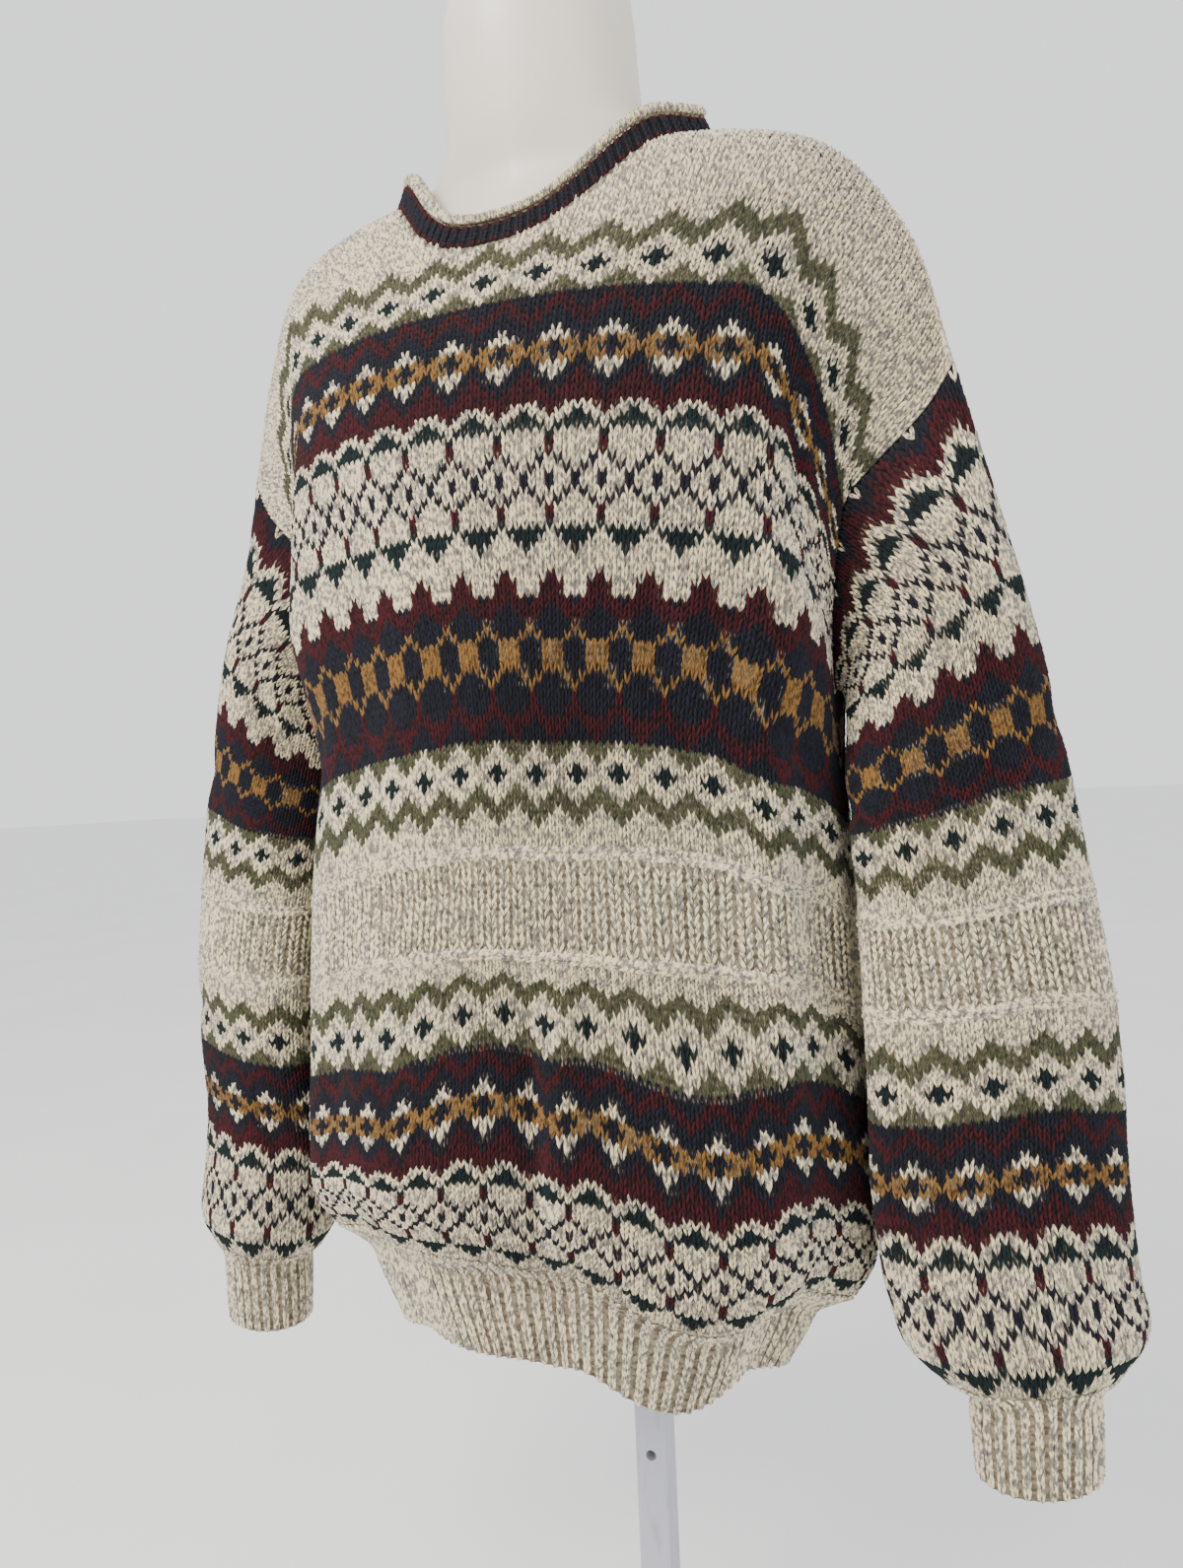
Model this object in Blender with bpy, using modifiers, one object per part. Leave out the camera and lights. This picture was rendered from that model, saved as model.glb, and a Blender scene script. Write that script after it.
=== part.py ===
"""Fair isle sweater, worn by a limbless dress form on a counter-top pole stand.

The part's own frame: metres, +Z up, origin at the middle of the base plate's
underside, on the pole's axis. The sweater faces -Y, and the wearer's left is +X.
Cloth is a wall through section curves that are worked out from the tables
below. Each panel is laid out by stitches across (u) and by cloth distance down
from the shoulder (drop).
"""

import math
from typing import NamedTuple

import bmesh
import bpy
import numpy as np

# General sizes
WALL = 0.003                # knitted wall
SEAM = 0.0003               # space between two pieces at a seam
RIB_SEAM = 0.0008           # the same above a rib, whose finer top crosses the panel's facets
BODY_X = -0.012             # middle of the dress form, as it sits on the pole
BODY_Y = -0.055
ARMHOLE_DROP = 0.240        # shoulder line to armpit, down the cloth
RIB_DROP = 0.573            # shoulder line to the hem rib's top, down the cloth
NECK_SHARE = 1 / 3          # share of the half panel's stitches that the neck takes
FRONT_NECK_DROP = 0.058
BACK_NECK_DROP = 0.026
NECK_CURVE = 2.4            # how square the neckline's curve is
CHEST_ANGLE = math.radians(55)
DROOP = 2.5                 # how late a row bends down towards the side
SIDE_TILT = 0.05            # rows hang lower on the wearer's left

# Knit repeats that stand out in relief
RIBS_PER_HEM_PANEL = 54
RIBS_PER_CUFF = 28
RIBS_ON_NECKBAND = 80
RIB_RELIEF = 0.0012
RIDGE_RELIEF = 0.0012       # purl ridges above and below the textured band
RIDGE_DROPS = (0.368, 0.418)
SLEEVE_RIDGE_SHARES = (0.460, 0.580)
RIGHT_SLEEVE_TUCK = 0.014   # how much closer to the body the right sleeve's end hangs
RIGHT_SLEEVE_RISE = 0.010   # and how much higher
TUCK_TOP = 0.480            # height from which it swings in and up

# Pole stand and dress form
BASE_RADIUS = 0.150
BASE_THICK = 0.008
SOCKET_RADIUS = 0.021
SOCKET_HEIGHT = 0.030
POLE_SIDE = 0.020
POLE_TURN = math.radians(4)
POLE_HOLE = 0.0065          # the one hole that shows in the pole's front face
POLE_HOLE_DEPTH = 0.008
POLE_HOLE_Z = 0.186
FLANGE_RADIUS = 0.030
FLANGE_THICK = 0.006
FIT = 0.0003                # space between hard pieces that meet
BASE_EDGE = 0.0015          # bevel round the base plate
POLE_EDGE = 0.0018          # rounding along the pole's corners
WELL_OVERRUN = 0.010        # how far the socket's cutter runs past it
FORM_SIDES = 28


class YokeRow(NamedTuple):
    """One row of stitches above the armpit, from the middle to the armhole."""

    drop: float
    centre_z: float
    centre_out: float
    corner_x: float
    corner_out: float
    corner_z: float
    fold_x: float
    fold_out: float
    fold_z: float
    edge_x: float
    edge_out: float
    edge_z: float


class BodyRow(NamedTuple):
    """One ring of stitches below the armpit."""

    drop: float
    front_z: float
    back_z: float
    side_z: float
    half_width: float
    front_out: float
    back_out: float


class Fold(NamedTuple):
    """A soft ridge (out > 0) or trough (out < 0) that runs down a panel."""

    across: float
    spread: float
    top: float
    bottom: float
    out: float
    sink: float


class SleeveRing(NamedTuple):
    """One flattened ring of a sleeve."""

    x: float
    out: float
    z: float
    wide: float
    thick: float
    turn: float
    tilt: float


class FormRing(NamedTuple):
    """One level ring of the dress form."""

    z: float
    half_width: float
    front_out: float
    back_out: float
    square: float


FRONT_YOKE = (
    YokeRow(0.000, 0.946, 0.000, 0.151, 0.000, 0.928, 0.198, -0.001, 0.872, 0.219, -0.002, 0.799),
    YokeRow(0.030, 0.930, 0.040, 0.151, 0.026, 0.913, 0.192, 0.014, 0.851, 0.205, 0.004, 0.776),
    YokeRow(0.060, 0.873, 0.079, 0.145, 0.048, 0.878, 0.175, 0.030, 0.825, 0.183, 0.009, 0.754),
    YokeRow(0.085, 0.848, 0.090, 0.138, 0.056, 0.846, 0.161, 0.037, 0.803, 0.167, 0.012, 0.737),
    YokeRow(0.120, 0.813, 0.100, 0.139, 0.060, 0.806, 0.154, 0.038, 0.767, 0.160, 0.010, 0.714),
    YokeRow(0.160, 0.773, 0.106, 0.141, 0.062, 0.764, 0.153, 0.036, 0.733, 0.156, 0.008, 0.691),
    YokeRow(0.200, 0.733, 0.109, 0.142, 0.064, 0.723, 0.153, 0.036, 0.699, 0.153, 0.004, 0.666),
    YokeRow(0.240, 0.693, 0.111, 0.143, 0.066, 0.681, 0.154, 0.034, 0.664, 0.152, 0.000, 0.640),
)

BACK_YOKE = (
    YokeRow(0.000, 0.946, 0.000, 0.151, 0.000, 0.928, 0.198, 0.001, 0.872, 0.219, 0.002, 0.799),
    YokeRow(0.030, 0.942, 0.071, 0.152, 0.026, 0.913, 0.192, 0.018, 0.851, 0.206, 0.010, 0.777),
    YokeRow(0.060, 0.914, 0.081, 0.147, 0.046, 0.884, 0.177, 0.034, 0.825, 0.187, 0.018, 0.755),
    YokeRow(0.085, 0.890, 0.088, 0.142, 0.055, 0.858, 0.166, 0.041, 0.805, 0.174, 0.022, 0.740),
    YokeRow(0.120, 0.855, 0.094, 0.141, 0.060, 0.822, 0.156, 0.042, 0.773, 0.165, 0.020, 0.717),
    YokeRow(0.160, 0.815, 0.098, 0.142, 0.062, 0.782, 0.154, 0.040, 0.739, 0.158, 0.016, 0.693),
    YokeRow(0.200, 0.774, 0.100, 0.143, 0.062, 0.742, 0.153, 0.038, 0.705, 0.154, 0.008, 0.667),
    YokeRow(0.240, 0.733, 0.100, 0.144, 0.062, 0.702, 0.154, 0.033, 0.670, 0.152, 0.000, 0.640),
)

BODY = (
    BodyRow(0.300, 0.633, 0.667, 0.583, 0.155, 0.112, 0.100),
    BodyRow(0.360, 0.573, 0.607, 0.527, 0.158, 0.114, 0.101),
    BodyRow(0.420, 0.515, 0.548, 0.470, 0.160, 0.117, 0.103),
    BodyRow(0.480, 0.455, 0.488, 0.412, 0.162, 0.121, 0.107),
    BodyRow(0.525, 0.411, 0.441, 0.368, 0.163, 0.125, 0.111),
    BodyRow(0.555, 0.382, 0.411, 0.338, 0.160, 0.124, 0.110),
    BodyRow(0.573, 0.366, 0.393, 0.322, 0.150, 0.115, 0.101),
)

# Hem rib: top (the panels' own edge), where it turns under, and its lower edge
HEM_TURN = BodyRow(0.585, 0.353, 0.378, 0.312, 0.131, 0.100, 0.089)
HEM_EDGE = BodyRow(0.625, 0.304, 0.330, 0.280, 0.112, 0.086, 0.078)

HEM_FOLD_KEEP = (1.0, 0.8)   # share of the panel's folds left at those two levels

FRONT_FOLDS = (
    Fold(0.10, 0.055, 0.400, 0.573, -0.006, -0.004),
    Fold(0.46, 0.140, 0.400, 0.573, 0.008, -0.020),
    Fold(-0.22, 0.120, 0.420, 0.573, 0.004, -0.002),
    Fold(-0.62, 0.100, 0.300, 0.560, 0.005, -0.006),
    Fold(0.80, 0.060, 0.260, 0.560, -0.006, 0.000),
    Fold(-0.86, 0.050, 0.260, 0.560, -0.005, 0.000),
    Fold(0.66, 0.060, 0.170, 0.420, 0.004, -0.006),
    Fold(-0.36, 0.080, 0.150, 0.330, -0.003, 0.000),
    Fold(0.28, 0.090, 0.180, 0.380, -0.003, 0.000),
)

BACK_FOLDS = (
    Fold(0.00, 0.070, 0.220, 0.560, -0.005, 0.000),
    Fold(0.42, 0.110, 0.330, 0.573, 0.007, -0.012),
    Fold(-0.45, 0.120, 0.360, 0.573, 0.007, -0.010),
    Fold(0.74, 0.060, 0.200, 0.560, -0.006, 0.000),
    Fold(-0.76, 0.060, 0.220, 0.560, -0.006, 0.000),
)

SLEEVE = (
    SleeveRing(0.1990, 0.003, 0.674, 0.057, 0.029, 6.0, 45.0),
    SleeveRing(0.2080, -0.003, 0.615, 0.055, 0.032, 17.0, 26.0),
    SleeveRing(0.2170, -0.009, 0.545, 0.057, 0.032, 25.0, 14.0),
    SleeveRing(0.2250, -0.012, 0.460, 0.063, 0.032, 30.0, 8.0),
    SleeveRing(0.2260, -0.012, 0.385, 0.063, 0.034, 30.0, 5.0),
    SleeveRing(0.2300, -0.012, 0.343, 0.061, 0.038, 30.0, 3.0),
    SleeveRing(0.2350, -0.012, 0.319, 0.057, 0.037, 29.0, 2.0),
    SleeveRing(0.2360, -0.012, 0.306, 0.045, 0.031, 28.0, 2.0),
)
CUFF_TURN = SleeveRing(0.2375, -0.012, 0.296, 0.031, 0.026, 28.0, 2.0)
CUFF_EDGE = SleeveRing(0.2380, -0.012, 0.254, 0.029, 0.024, 26.0, 2.0)

FORM = (
    FormRing(0.400, 0.112, 0.070, 0.086, 2.1),
    FormRing(0.408, 0.124, 0.082, 0.093, 2.1),
    FormRing(0.440, 0.133, 0.092, 0.095, 2.1),
    FormRing(0.500, 0.135, 0.094, 0.083, 2.1),
    FormRing(0.560, 0.126, 0.091, 0.079, 2.1),
    FormRing(0.630, 0.132, 0.097, 0.084, 2.1),
    FormRing(0.700, 0.138, 0.102, 0.090, 2.1),
    FormRing(0.760, 0.138, 0.100, 0.091, 2.1),
    FormRing(0.810, 0.139, 0.094, 0.088, 2.1),
    FormRing(0.850, 0.143, 0.083, 0.081, 2.1),
    FormRing(0.880, 0.147, 0.068, 0.070, 2.0),
    FormRing(0.900, 0.151, 0.055, 0.058, 1.7),
    FormRing(0.912, 0.147, 0.048, 0.051, 1.45),
    FormRing(0.924, 0.129, 0.045, 0.046, 1.3),
    FormRing(0.934, 0.106, 0.045, 0.044, 1.3),
    FormRing(0.945, 0.078, 0.048, 0.044, 1.5),
    FormRing(0.959, 0.061, 0.052, 0.045, 1.8),
    FormRing(0.980, 0.057, 0.057, 0.047, 2.0),
    FormRing(1.000, 0.0555, 0.061, 0.046, 2.0),
    FormRing(1.022, 0.0548, 0.062, 0.044, 2.0),
    FormRing(1.036, 0.053, 0.056, 0.043, 2.0),
    FormRing(1.048, 0.050, 0.044, 0.042, 2.0),
    FormRing(1.060, 0.043, 0.028, 0.039, 2.0),
    FormRing(1.068, 0.033, 0.014, 0.033, 2.0),
    FormRing(1.072, 0.018, 0.004, 0.024, 2.0),
)

# Finish of each kind of piece: colour, roughness, metallic
FINISHES = {
    "yoke_knit": ((0.74, 0.70, 0.58), 0.92, 0.0),
    "rib_knit": ((0.62, 0.58, 0.49), 0.92, 0.0),
    "neck_knit": ((0.075, 0.018, 0.024), 0.92, 0.0),
    "form_plastic": ((0.70, 0.67, 0.58), 0.38, 0.0),
    "stand_steel": ((0.58, 0.58, 0.65), 0.40, 0.2),
}

# Columns of a half panel, closer together where the cloth turns
HALF_COLUMNS = (0.0, 0.09, 0.18, 0.25, 0.30, NECK_SHARE, 0.44, 0.55, 0.65, 0.74, 0.82, 0.90, 1.0)
# Rows of a panel: the yoke's rows also divide the sleeve's top
YOKE_STEPS = 10
NECK_STEPS = 4              # rows that bend round the neckline
LOWER_ROWS = (0.285, 0.325, 0.360, 0.368, 0.376, 0.410, 0.418, 0.426, 0.475, 0.515, 0.548, RIB_DROP)
SLEEVE_ROWS = (0.0, 0.06, 0.13, 0.21, 0.30, 0.39, 0.445, 0.46, 0.475, 0.565, 0.58, 0.595,
               0.70, 0.79, 0.87, 0.93, 0.97, 1.0)

# Neckband section, measured from the neckline up along the band
BAND_LEAN = 0.42            # how far the band leans in towards the neck
BAND_LOW = 0.0025
BAND_HIGH = 0.0120
BAND_TOP = 0.0138
ROLL_RADIUS = 0.0034
ROLL_SIDES = 6
ROLL_COLUMNS = 56

BODY_CENTRE = np.array([BODY_X, BODY_Y, 0.0])
PARTS = bpy.data.collections.new("fair_isle_sweater")
CUTTERS = bpy.data.collections.new("cutters")


def hermite(knots: np.ndarray, values: np.ndarray, at: np.ndarray) -> np.ndarray:
    """Read a smooth curve through values at knots, for every place in at."""
    knots = np.asarray(knots, float)
    values = np.asarray(values, float)
    shape = (-1,) + (1,) * (values.ndim - 1)
    gaps = np.diff(knots)
    slopes = np.diff(values, axis=0) / gaps.reshape(shape)
    before, after = gaps[:-1].reshape(shape), gaps[1:].reshape(shape)
    inner = (slopes[:-1] * after + slopes[1:] * before) / (before + after)
    tangents = np.concatenate([slopes[:1], inner, slopes[-1:]])
    at = np.clip(np.asarray(at, float), knots[0], knots[-1])
    k = np.clip(np.searchsorted(knots, at, side="right") - 1, 0, len(gaps) - 1)
    f = ((at - knots[k]) / gaps[k]).reshape(shape)
    gap = gaps[k].reshape(shape)
    return (
        values[k] * (2 * f**3 - 3 * f**2 + 1)
        + tangents[k] * gap * (f**3 - 2 * f**2 + f)
        + values[k + 1] * (3 * f**2 - 2 * f**3)
        + tangents[k + 1] * gap * (f**3 - f**2)
    )


def even_along(points: np.ndarray, count: int) -> np.ndarray:
    """Smooth a curve through points and read it at count even steps of length."""
    steps = np.linalg.norm(np.diff(points, axis=0), axis=1)
    knots = np.concatenate([[0.0], np.cumsum(steps)])
    dense = hermite(knots, points, np.linspace(0, knots[-1], 8 * count))
    length = np.concatenate([[0.0], np.cumsum(np.linalg.norm(np.diff(dense, axis=0), axis=1))])
    wanted = np.linspace(0, length[-1], count)
    return np.stack([np.interp(wanted, length, dense[:, axis]) for axis in range(3)], -1)


def yoke_curve(row: YokeRow, facing: int) -> np.ndarray:
    """Control points of a half row above the armpit; facing is -1 in front, 1 behind."""
    points = []
    for share in (0.0, 0.25, 0.5, 0.75, 1.0):
        angle = share * CHEST_ANGLE
        bend = (1 - math.cos(angle)) / (1 - math.cos(CHEST_ANGLE))
        out = row.centre_out + (row.corner_out - row.centre_out) * bend
        x = row.corner_x * math.sin(angle) / math.sin(CHEST_ANGLE)
        z = row.centre_z + (row.corner_z - row.centre_z) * share**DROOP
        points.append((x, facing * out, z))
    points.append((row.fold_x, facing * row.fold_out, row.fold_z))
    points.append((row.edge_x, facing * row.edge_out, row.edge_z))
    return np.array(points)


def body_curve(row: BodyRow, facing: int) -> np.ndarray:
    """Control points of a half row below the armpit, a quarter of an ellipse."""
    depth = row.front_out if facing < 0 else row.back_out
    centre_z = row.front_z if facing < 0 else row.back_z
    points = []
    for share in np.linspace(0.0, 1.0, 9):
        angle = share * math.pi / 2
        z = centre_z + (row.side_z - centre_z) * share**DROOP
        points.append((row.half_width * math.sin(angle), facing * depth * math.cos(angle), z))
    return np.array(points)


def bump(place: np.ndarray) -> np.ndarray:
    """A soft bell, 1 in the middle and 0 from 1 outward."""
    inside = np.clip(1 - np.asarray(place) ** 2, 0, 1)
    return inside**2


def fold_reach(fold: Fold, u: np.ndarray, drop: np.ndarray) -> np.ndarray:
    """How strongly a fold acts at each place of a panel."""
    across = bump((u - fold.across) / (2.2 * fold.spread))
    length = fold.bottom - fold.top
    down = np.clip((drop - fold.top) / (0.45 * length), 0, 1)
    end = np.clip((fold.bottom + 0.25 * length - drop) / (0.25 * length), 0, 1)
    return across * down * down * (3 - 2 * down) * end


class Panel:
    """A front or back panel as a surface, read at any stitch and row."""

    SAMPLES = 72

    def __init__(self, yoke: tuple, facing: int, folds: tuple, neck_drop: float) -> None:
        curves = [even_along(yoke_curve(row, facing), self.SAMPLES) for row in yoke]
        curves += [even_along(body_curve(row, facing), self.SAMPLES) for row in BODY]
        self.half = np.array(curves)
        self.drops = np.array([row.drop for row in yoke] + [row.drop for row in BODY])
        self.facing = facing
        self.folds = folds
        self.neck_drop = neck_drop

    def neckline(self, u: np.ndarray) -> np.ndarray:
        """The drop at which each column starts: the neckline, or the shoulder line."""
        share = np.clip(np.abs(u) / NECK_SHARE, 0, 1)
        return self.neck_drop * (1 - share**NECK_CURVE)

    def points(self, u: np.ndarray, drop: np.ndarray) -> np.ndarray:
        """Outer points of the panel for matching arrays of u (-1 to 1) and drop."""
        u, drop = np.broadcast_arrays(np.asarray(u, float), np.asarray(drop, float))
        flat_u, flat_drop = u.ravel(), drop.ravel()
        place = np.abs(flat_u) * (self.SAMPLES - 1)
        low = np.clip(place.astype(int), 0, self.SAMPLES - 2)
        mix = (place - low)[:, None]
        result = np.empty((flat_u.size, 3))
        for start in range(0, flat_u.size, 4096):
            part = slice(start, start + 4096)
            levels = flat_drop[part]
            for column in np.unique(low[part]):
                chosen = low[part] == column
                pair = self.half[:, column:column + 2]
                read = hermite(self.drops, pair, levels[chosen])
                share = mix[part][chosen]
                result[np.arange(flat_u.size)[part][chosen]] = read[:, 0] * (1 - share) + read[:, 1] * share
        result[:, 0] *= np.sign(flat_u) + (flat_u == 0)
        self.hang(result, flat_u, flat_drop)
        result += BODY_CENTRE
        return result.reshape(u.shape + (3,))

    def hang(self, result: np.ndarray, u: np.ndarray, drop: np.ndarray) -> None:
        """Tilt the rows a little and add the folds, none at the seams."""
        fade = np.clip((drop - 0.05) / 0.15, 0, 1) * (1 - u**4)
        result[:, 2] -= SIDE_TILT * result[:, 0] * fade
        outward = np.stack([result[:, 0], result[:, 1], np.zeros(len(u))], -1)
        outward /= np.maximum(np.linalg.norm(outward, axis=1), 1e-6)[:, None]
        for fold in self.folds:
            reach = fold_reach(fold, u, drop)[:, None] * (1 - u**8)[:, None]
            result += outward * reach * fold.out
            result[:, 2:] += reach * fold.sink


def sleeve_ring(ring: SleeveRing, side: int, count: int) -> np.ndarray:
    """Points round a flattened ring, from its outer end round its front."""
    turn, tilt = math.radians(ring.turn), math.radians(ring.tilt)
    wide = np.array([math.cos(turn) * math.cos(tilt), math.sin(turn) * math.cos(tilt), math.sin(tilt)])
    front = np.array([math.sin(turn), -math.cos(turn), 0.0])
    centre = np.array([ring.x, ring.out, ring.z])
    angles = np.linspace(0, 2 * math.pi, 361)[:, None]
    dense = centre + wide * ring.wide * np.cos(angles) + front * ring.thick * np.sin(angles)
    length = np.concatenate([[0.0], np.cumsum(np.linalg.norm(np.diff(dense, axis=0), axis=1))])
    wanted = np.linspace(0, length[-1], count)
    points = np.stack([np.interp(wanted, length, dense[:, axis]) for axis in range(3)], -1)
    points[:, 0] *= side
    if side < 0:
        swing = np.clip((TUCK_TOP - ring.z) / (TUCK_TOP - CUFF_TURN.z), 0, 1)
        points[:, 0] += RIGHT_SLEEVE_TUCK * swing
        points[:, 2] += RIGHT_SLEEVE_RISE * swing
    return points + BODY_CENTRE


class Sleeve:
    """A sleeve as a surface from the armhole to the cuff."""

    SAMPLES = 121

    def __init__(self, side: int, front: Panel, back: Panel) -> None:
        self.side = side
        share = np.linspace(0, 1, self.SAMPLES)
        drop = np.where(share <= 0.5, share, 1 - share) * 2 * ARMHOLE_DROP
        edge = np.full_like(share, float(side))
        in_front = front.points(edge, drop)
        behind = back.points(edge, drop)
        loop = np.where((share <= 0.5)[:, None], in_front, behind)
        rings = [loop] + [sleeve_ring(ring, side, self.SAMPLES) for ring in SLEEVE]
        self.rings = np.array(rings)
        centres = self.rings.mean(axis=1)
        steps = np.linalg.norm(np.diff(centres, axis=0), axis=1)
        self.knots = np.concatenate([[0.0], np.cumsum(steps)])
        self.knots /= self.knots[-1]

    def points(self, around: np.ndarray, along: np.ndarray) -> np.ndarray:
        """Outer points for matching arrays of around (0 to 1) and along (0 to 1)."""
        around, along = np.broadcast_arrays(np.asarray(around, float), np.asarray(along, float))
        place = np.mod(around.ravel(), 1.0) * (self.SAMPLES - 1)
        low = np.clip(place.astype(int), 0, self.SAMPLES - 2)
        mix = (place - low)[:, None]
        result = np.empty((place.size, 3))
        levels = along.ravel()
        for column in np.unique(low):
            chosen = low == column
            read = hermite(self.knots, self.rings[:, column:column + 2], levels[chosen])
            result[chosen] = read[:, 0] * (1 - mix[chosen]) + read[:, 1] * mix[chosen]
        return result.reshape(around.shape + (3,))


def unit(vectors: np.ndarray) -> np.ndarray:
    """Vectors scaled to length 1."""
    return vectors / np.maximum(np.linalg.norm(vectors, axis=-1, keepdims=True), 1e-12)


def grid_normals(grid: np.ndarray, wrap: bool) -> np.ndarray:
    """Outward directions at a grid's points: rows go down, columns go round."""
    if wrap:
        across = np.roll(grid, -1, axis=1) - np.roll(grid, 1, axis=1)
    else:
        across = np.gradient(grid, axis=1)
    down = np.gradient(grid, axis=0)
    return unit(np.cross(down, across))


def mesh_object(name: str, points: np.ndarray, faces: list, finish: str) -> bpy.types.Object:
    """A smooth-shaded object from points and faces, with its own material."""
    mesh = bpy.data.meshes.new(name)
    mesh.from_pydata([tuple(point) for point in points], [], faces)
    mesh.update()
    obj = bpy.data.objects.new(name, mesh)
    PARTS.objects.link(obj)
    finish_object(obj, finish)
    return obj


def finish_object(obj: bpy.types.Object, finish: str) -> None:
    """Give an object its own material and smooth shading."""
    colour, roughness, metallic = FINISHES[finish]
    material = bpy.data.materials.new(obj.name)
    material.use_nodes = True
    shader = material.node_tree.nodes["Principled BSDF"]
    shader.inputs["Base Color"].default_value = (*colour, 1.0)
    shader.inputs["Roughness"].default_value = roughness
    shader.inputs["Metallic"].default_value = metallic
    obj.data.materials.clear()
    obj.data.materials.append(material)
    obj.data.shade_smooth()
    obj.data.set_sharp_from_angle(angle=math.radians(35))


def wall_object(name: str, outer: np.ndarray, inner: np.ndarray, wrap: bool, finish: str) -> bpy.types.Object:
    """A closed wall between an outer and an inner grid of the same size."""
    rows, columns = outer.shape[:2]
    points = np.concatenate([outer.reshape(-1, 3), inner.reshape(-1, 3)])
    inside = rows * columns
    steps = columns if wrap else columns - 1
    faces = []

    def quad(a: int, b: int, c: int, d: int) -> None:
        faces.append((a, b, c))
        faces.append((a, c, d))

    for row in range(rows - 1):
        for column in range(steps):
            after = (column + 1) % columns
            a, b = row * columns + column, row * columns + after
            c, d = a + columns, b + columns
            quad(a, c, d, b)
            quad(inside + a, inside + b, inside + d, inside + c)
    for column in range(steps):
        after = (column + 1) % columns
        if wrap and column >= columns // 2:
            quad(after, inside + after, inside + column, column)
        else:
            quad(column, after, inside + after, inside + column)
        last = (rows - 1) * columns
        quad(last + after, last + column, inside + last + column, inside + last + after)
    if not wrap:
        for row in range(rows - 1):
            a, c = row * columns, (row + 1) * columns
            quad(a, inside + a, inside + c, c)
            b, d = a + columns - 1, c + columns - 1
            quad(b, d, inside + d, inside + b)
    obj = mesh_object(name, points, faces, finish)
    face_out(obj)
    return obj


def face_out(obj: bpy.types.Object) -> None:
    """Turn a closed mesh's faces outward."""
    work = bmesh.new()
    work.from_mesh(obj.data)
    bmesh.ops.recalc_face_normals(work, faces=work.faces[:])
    work.to_mesh(obj.data)
    work.free()
    obj.data.update()


def section_object(name: str, grid: np.ndarray, closed: bool, finish: str) -> bpy.types.Object:
    """A band whose closed section (axis 1) is carried along its columns (axis 0)."""
    columns, sides = grid.shape[:2]
    faces = []
    for column in range(columns if closed else columns - 1):
        after = (column + 1) % columns
        for side in range(sides):
            up = (side + 1) % sides
            a, b = column * sides + side, column * sides + up
            c, d = after * sides + side, after * sides + up
            faces.append((a, b, d))
            faces.append((a, d, c))
    if not closed:
        last = (columns - 1) * sides
        for side in range(sides // 2 - 1):
            low, high = side, sides - 1 - side
            for start in (0, last):
                faces.append((start + low, start + low + 1, start + high - 1))
                faces.append((start + low, start + high - 1, start + high))
    obj = mesh_object(name, grid.reshape(-1, 3), faces, finish)
    face_out(obj)
    return obj


def panel_grid(panel: Panel) -> tuple:
    """Stitch place, drop and outer point at each corner of a panel's mesh."""
    half = np.array(HALF_COLUMNS)
    across = np.concatenate([-half[:0:-1], half])
    yoke = ARMHOLE_DROP * np.arange(YOKE_STEPS + 1) / YOKE_STEPS
    drops = np.concatenate([yoke, LOWER_ROWS])
    u = np.broadcast_to(across, (len(drops), len(across)))
    drop = np.array(np.broadcast_to(drops[:, None], u.shape))
    start = panel.neckline(across)
    for row in range(NECK_STEPS):
        drop[row] = start + (yoke[NECK_STEPS] - start) * row / NECK_STEPS
    return u, drop, panel.points(u, drop)


def sleeve_grid(sleeve: Sleeve) -> np.ndarray:
    """Outer points of a sleeve's mesh; its first row follows the yoke's rows."""
    down = np.arange(YOKE_STEPS + 1) / (2 * YOKE_STEPS)
    around = np.concatenate([down, 1 - down[-2:0:-1]])
    share = np.broadcast_to(around, (len(SLEEVE_ROWS), len(around)))
    along = np.broadcast_to(np.array(SLEEVE_ROWS)[:, None], share.shape)
    return sleeve.points(share, along)


def outward(grid: np.ndarray, normals: np.ndarray, wrap_centre: np.ndarray) -> np.ndarray:
    """Normals turned away from a grid's own middle."""
    towards = grid - wrap_centre
    if np.sum(towards * normals) < 0:
        return -normals
    return normals


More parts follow.
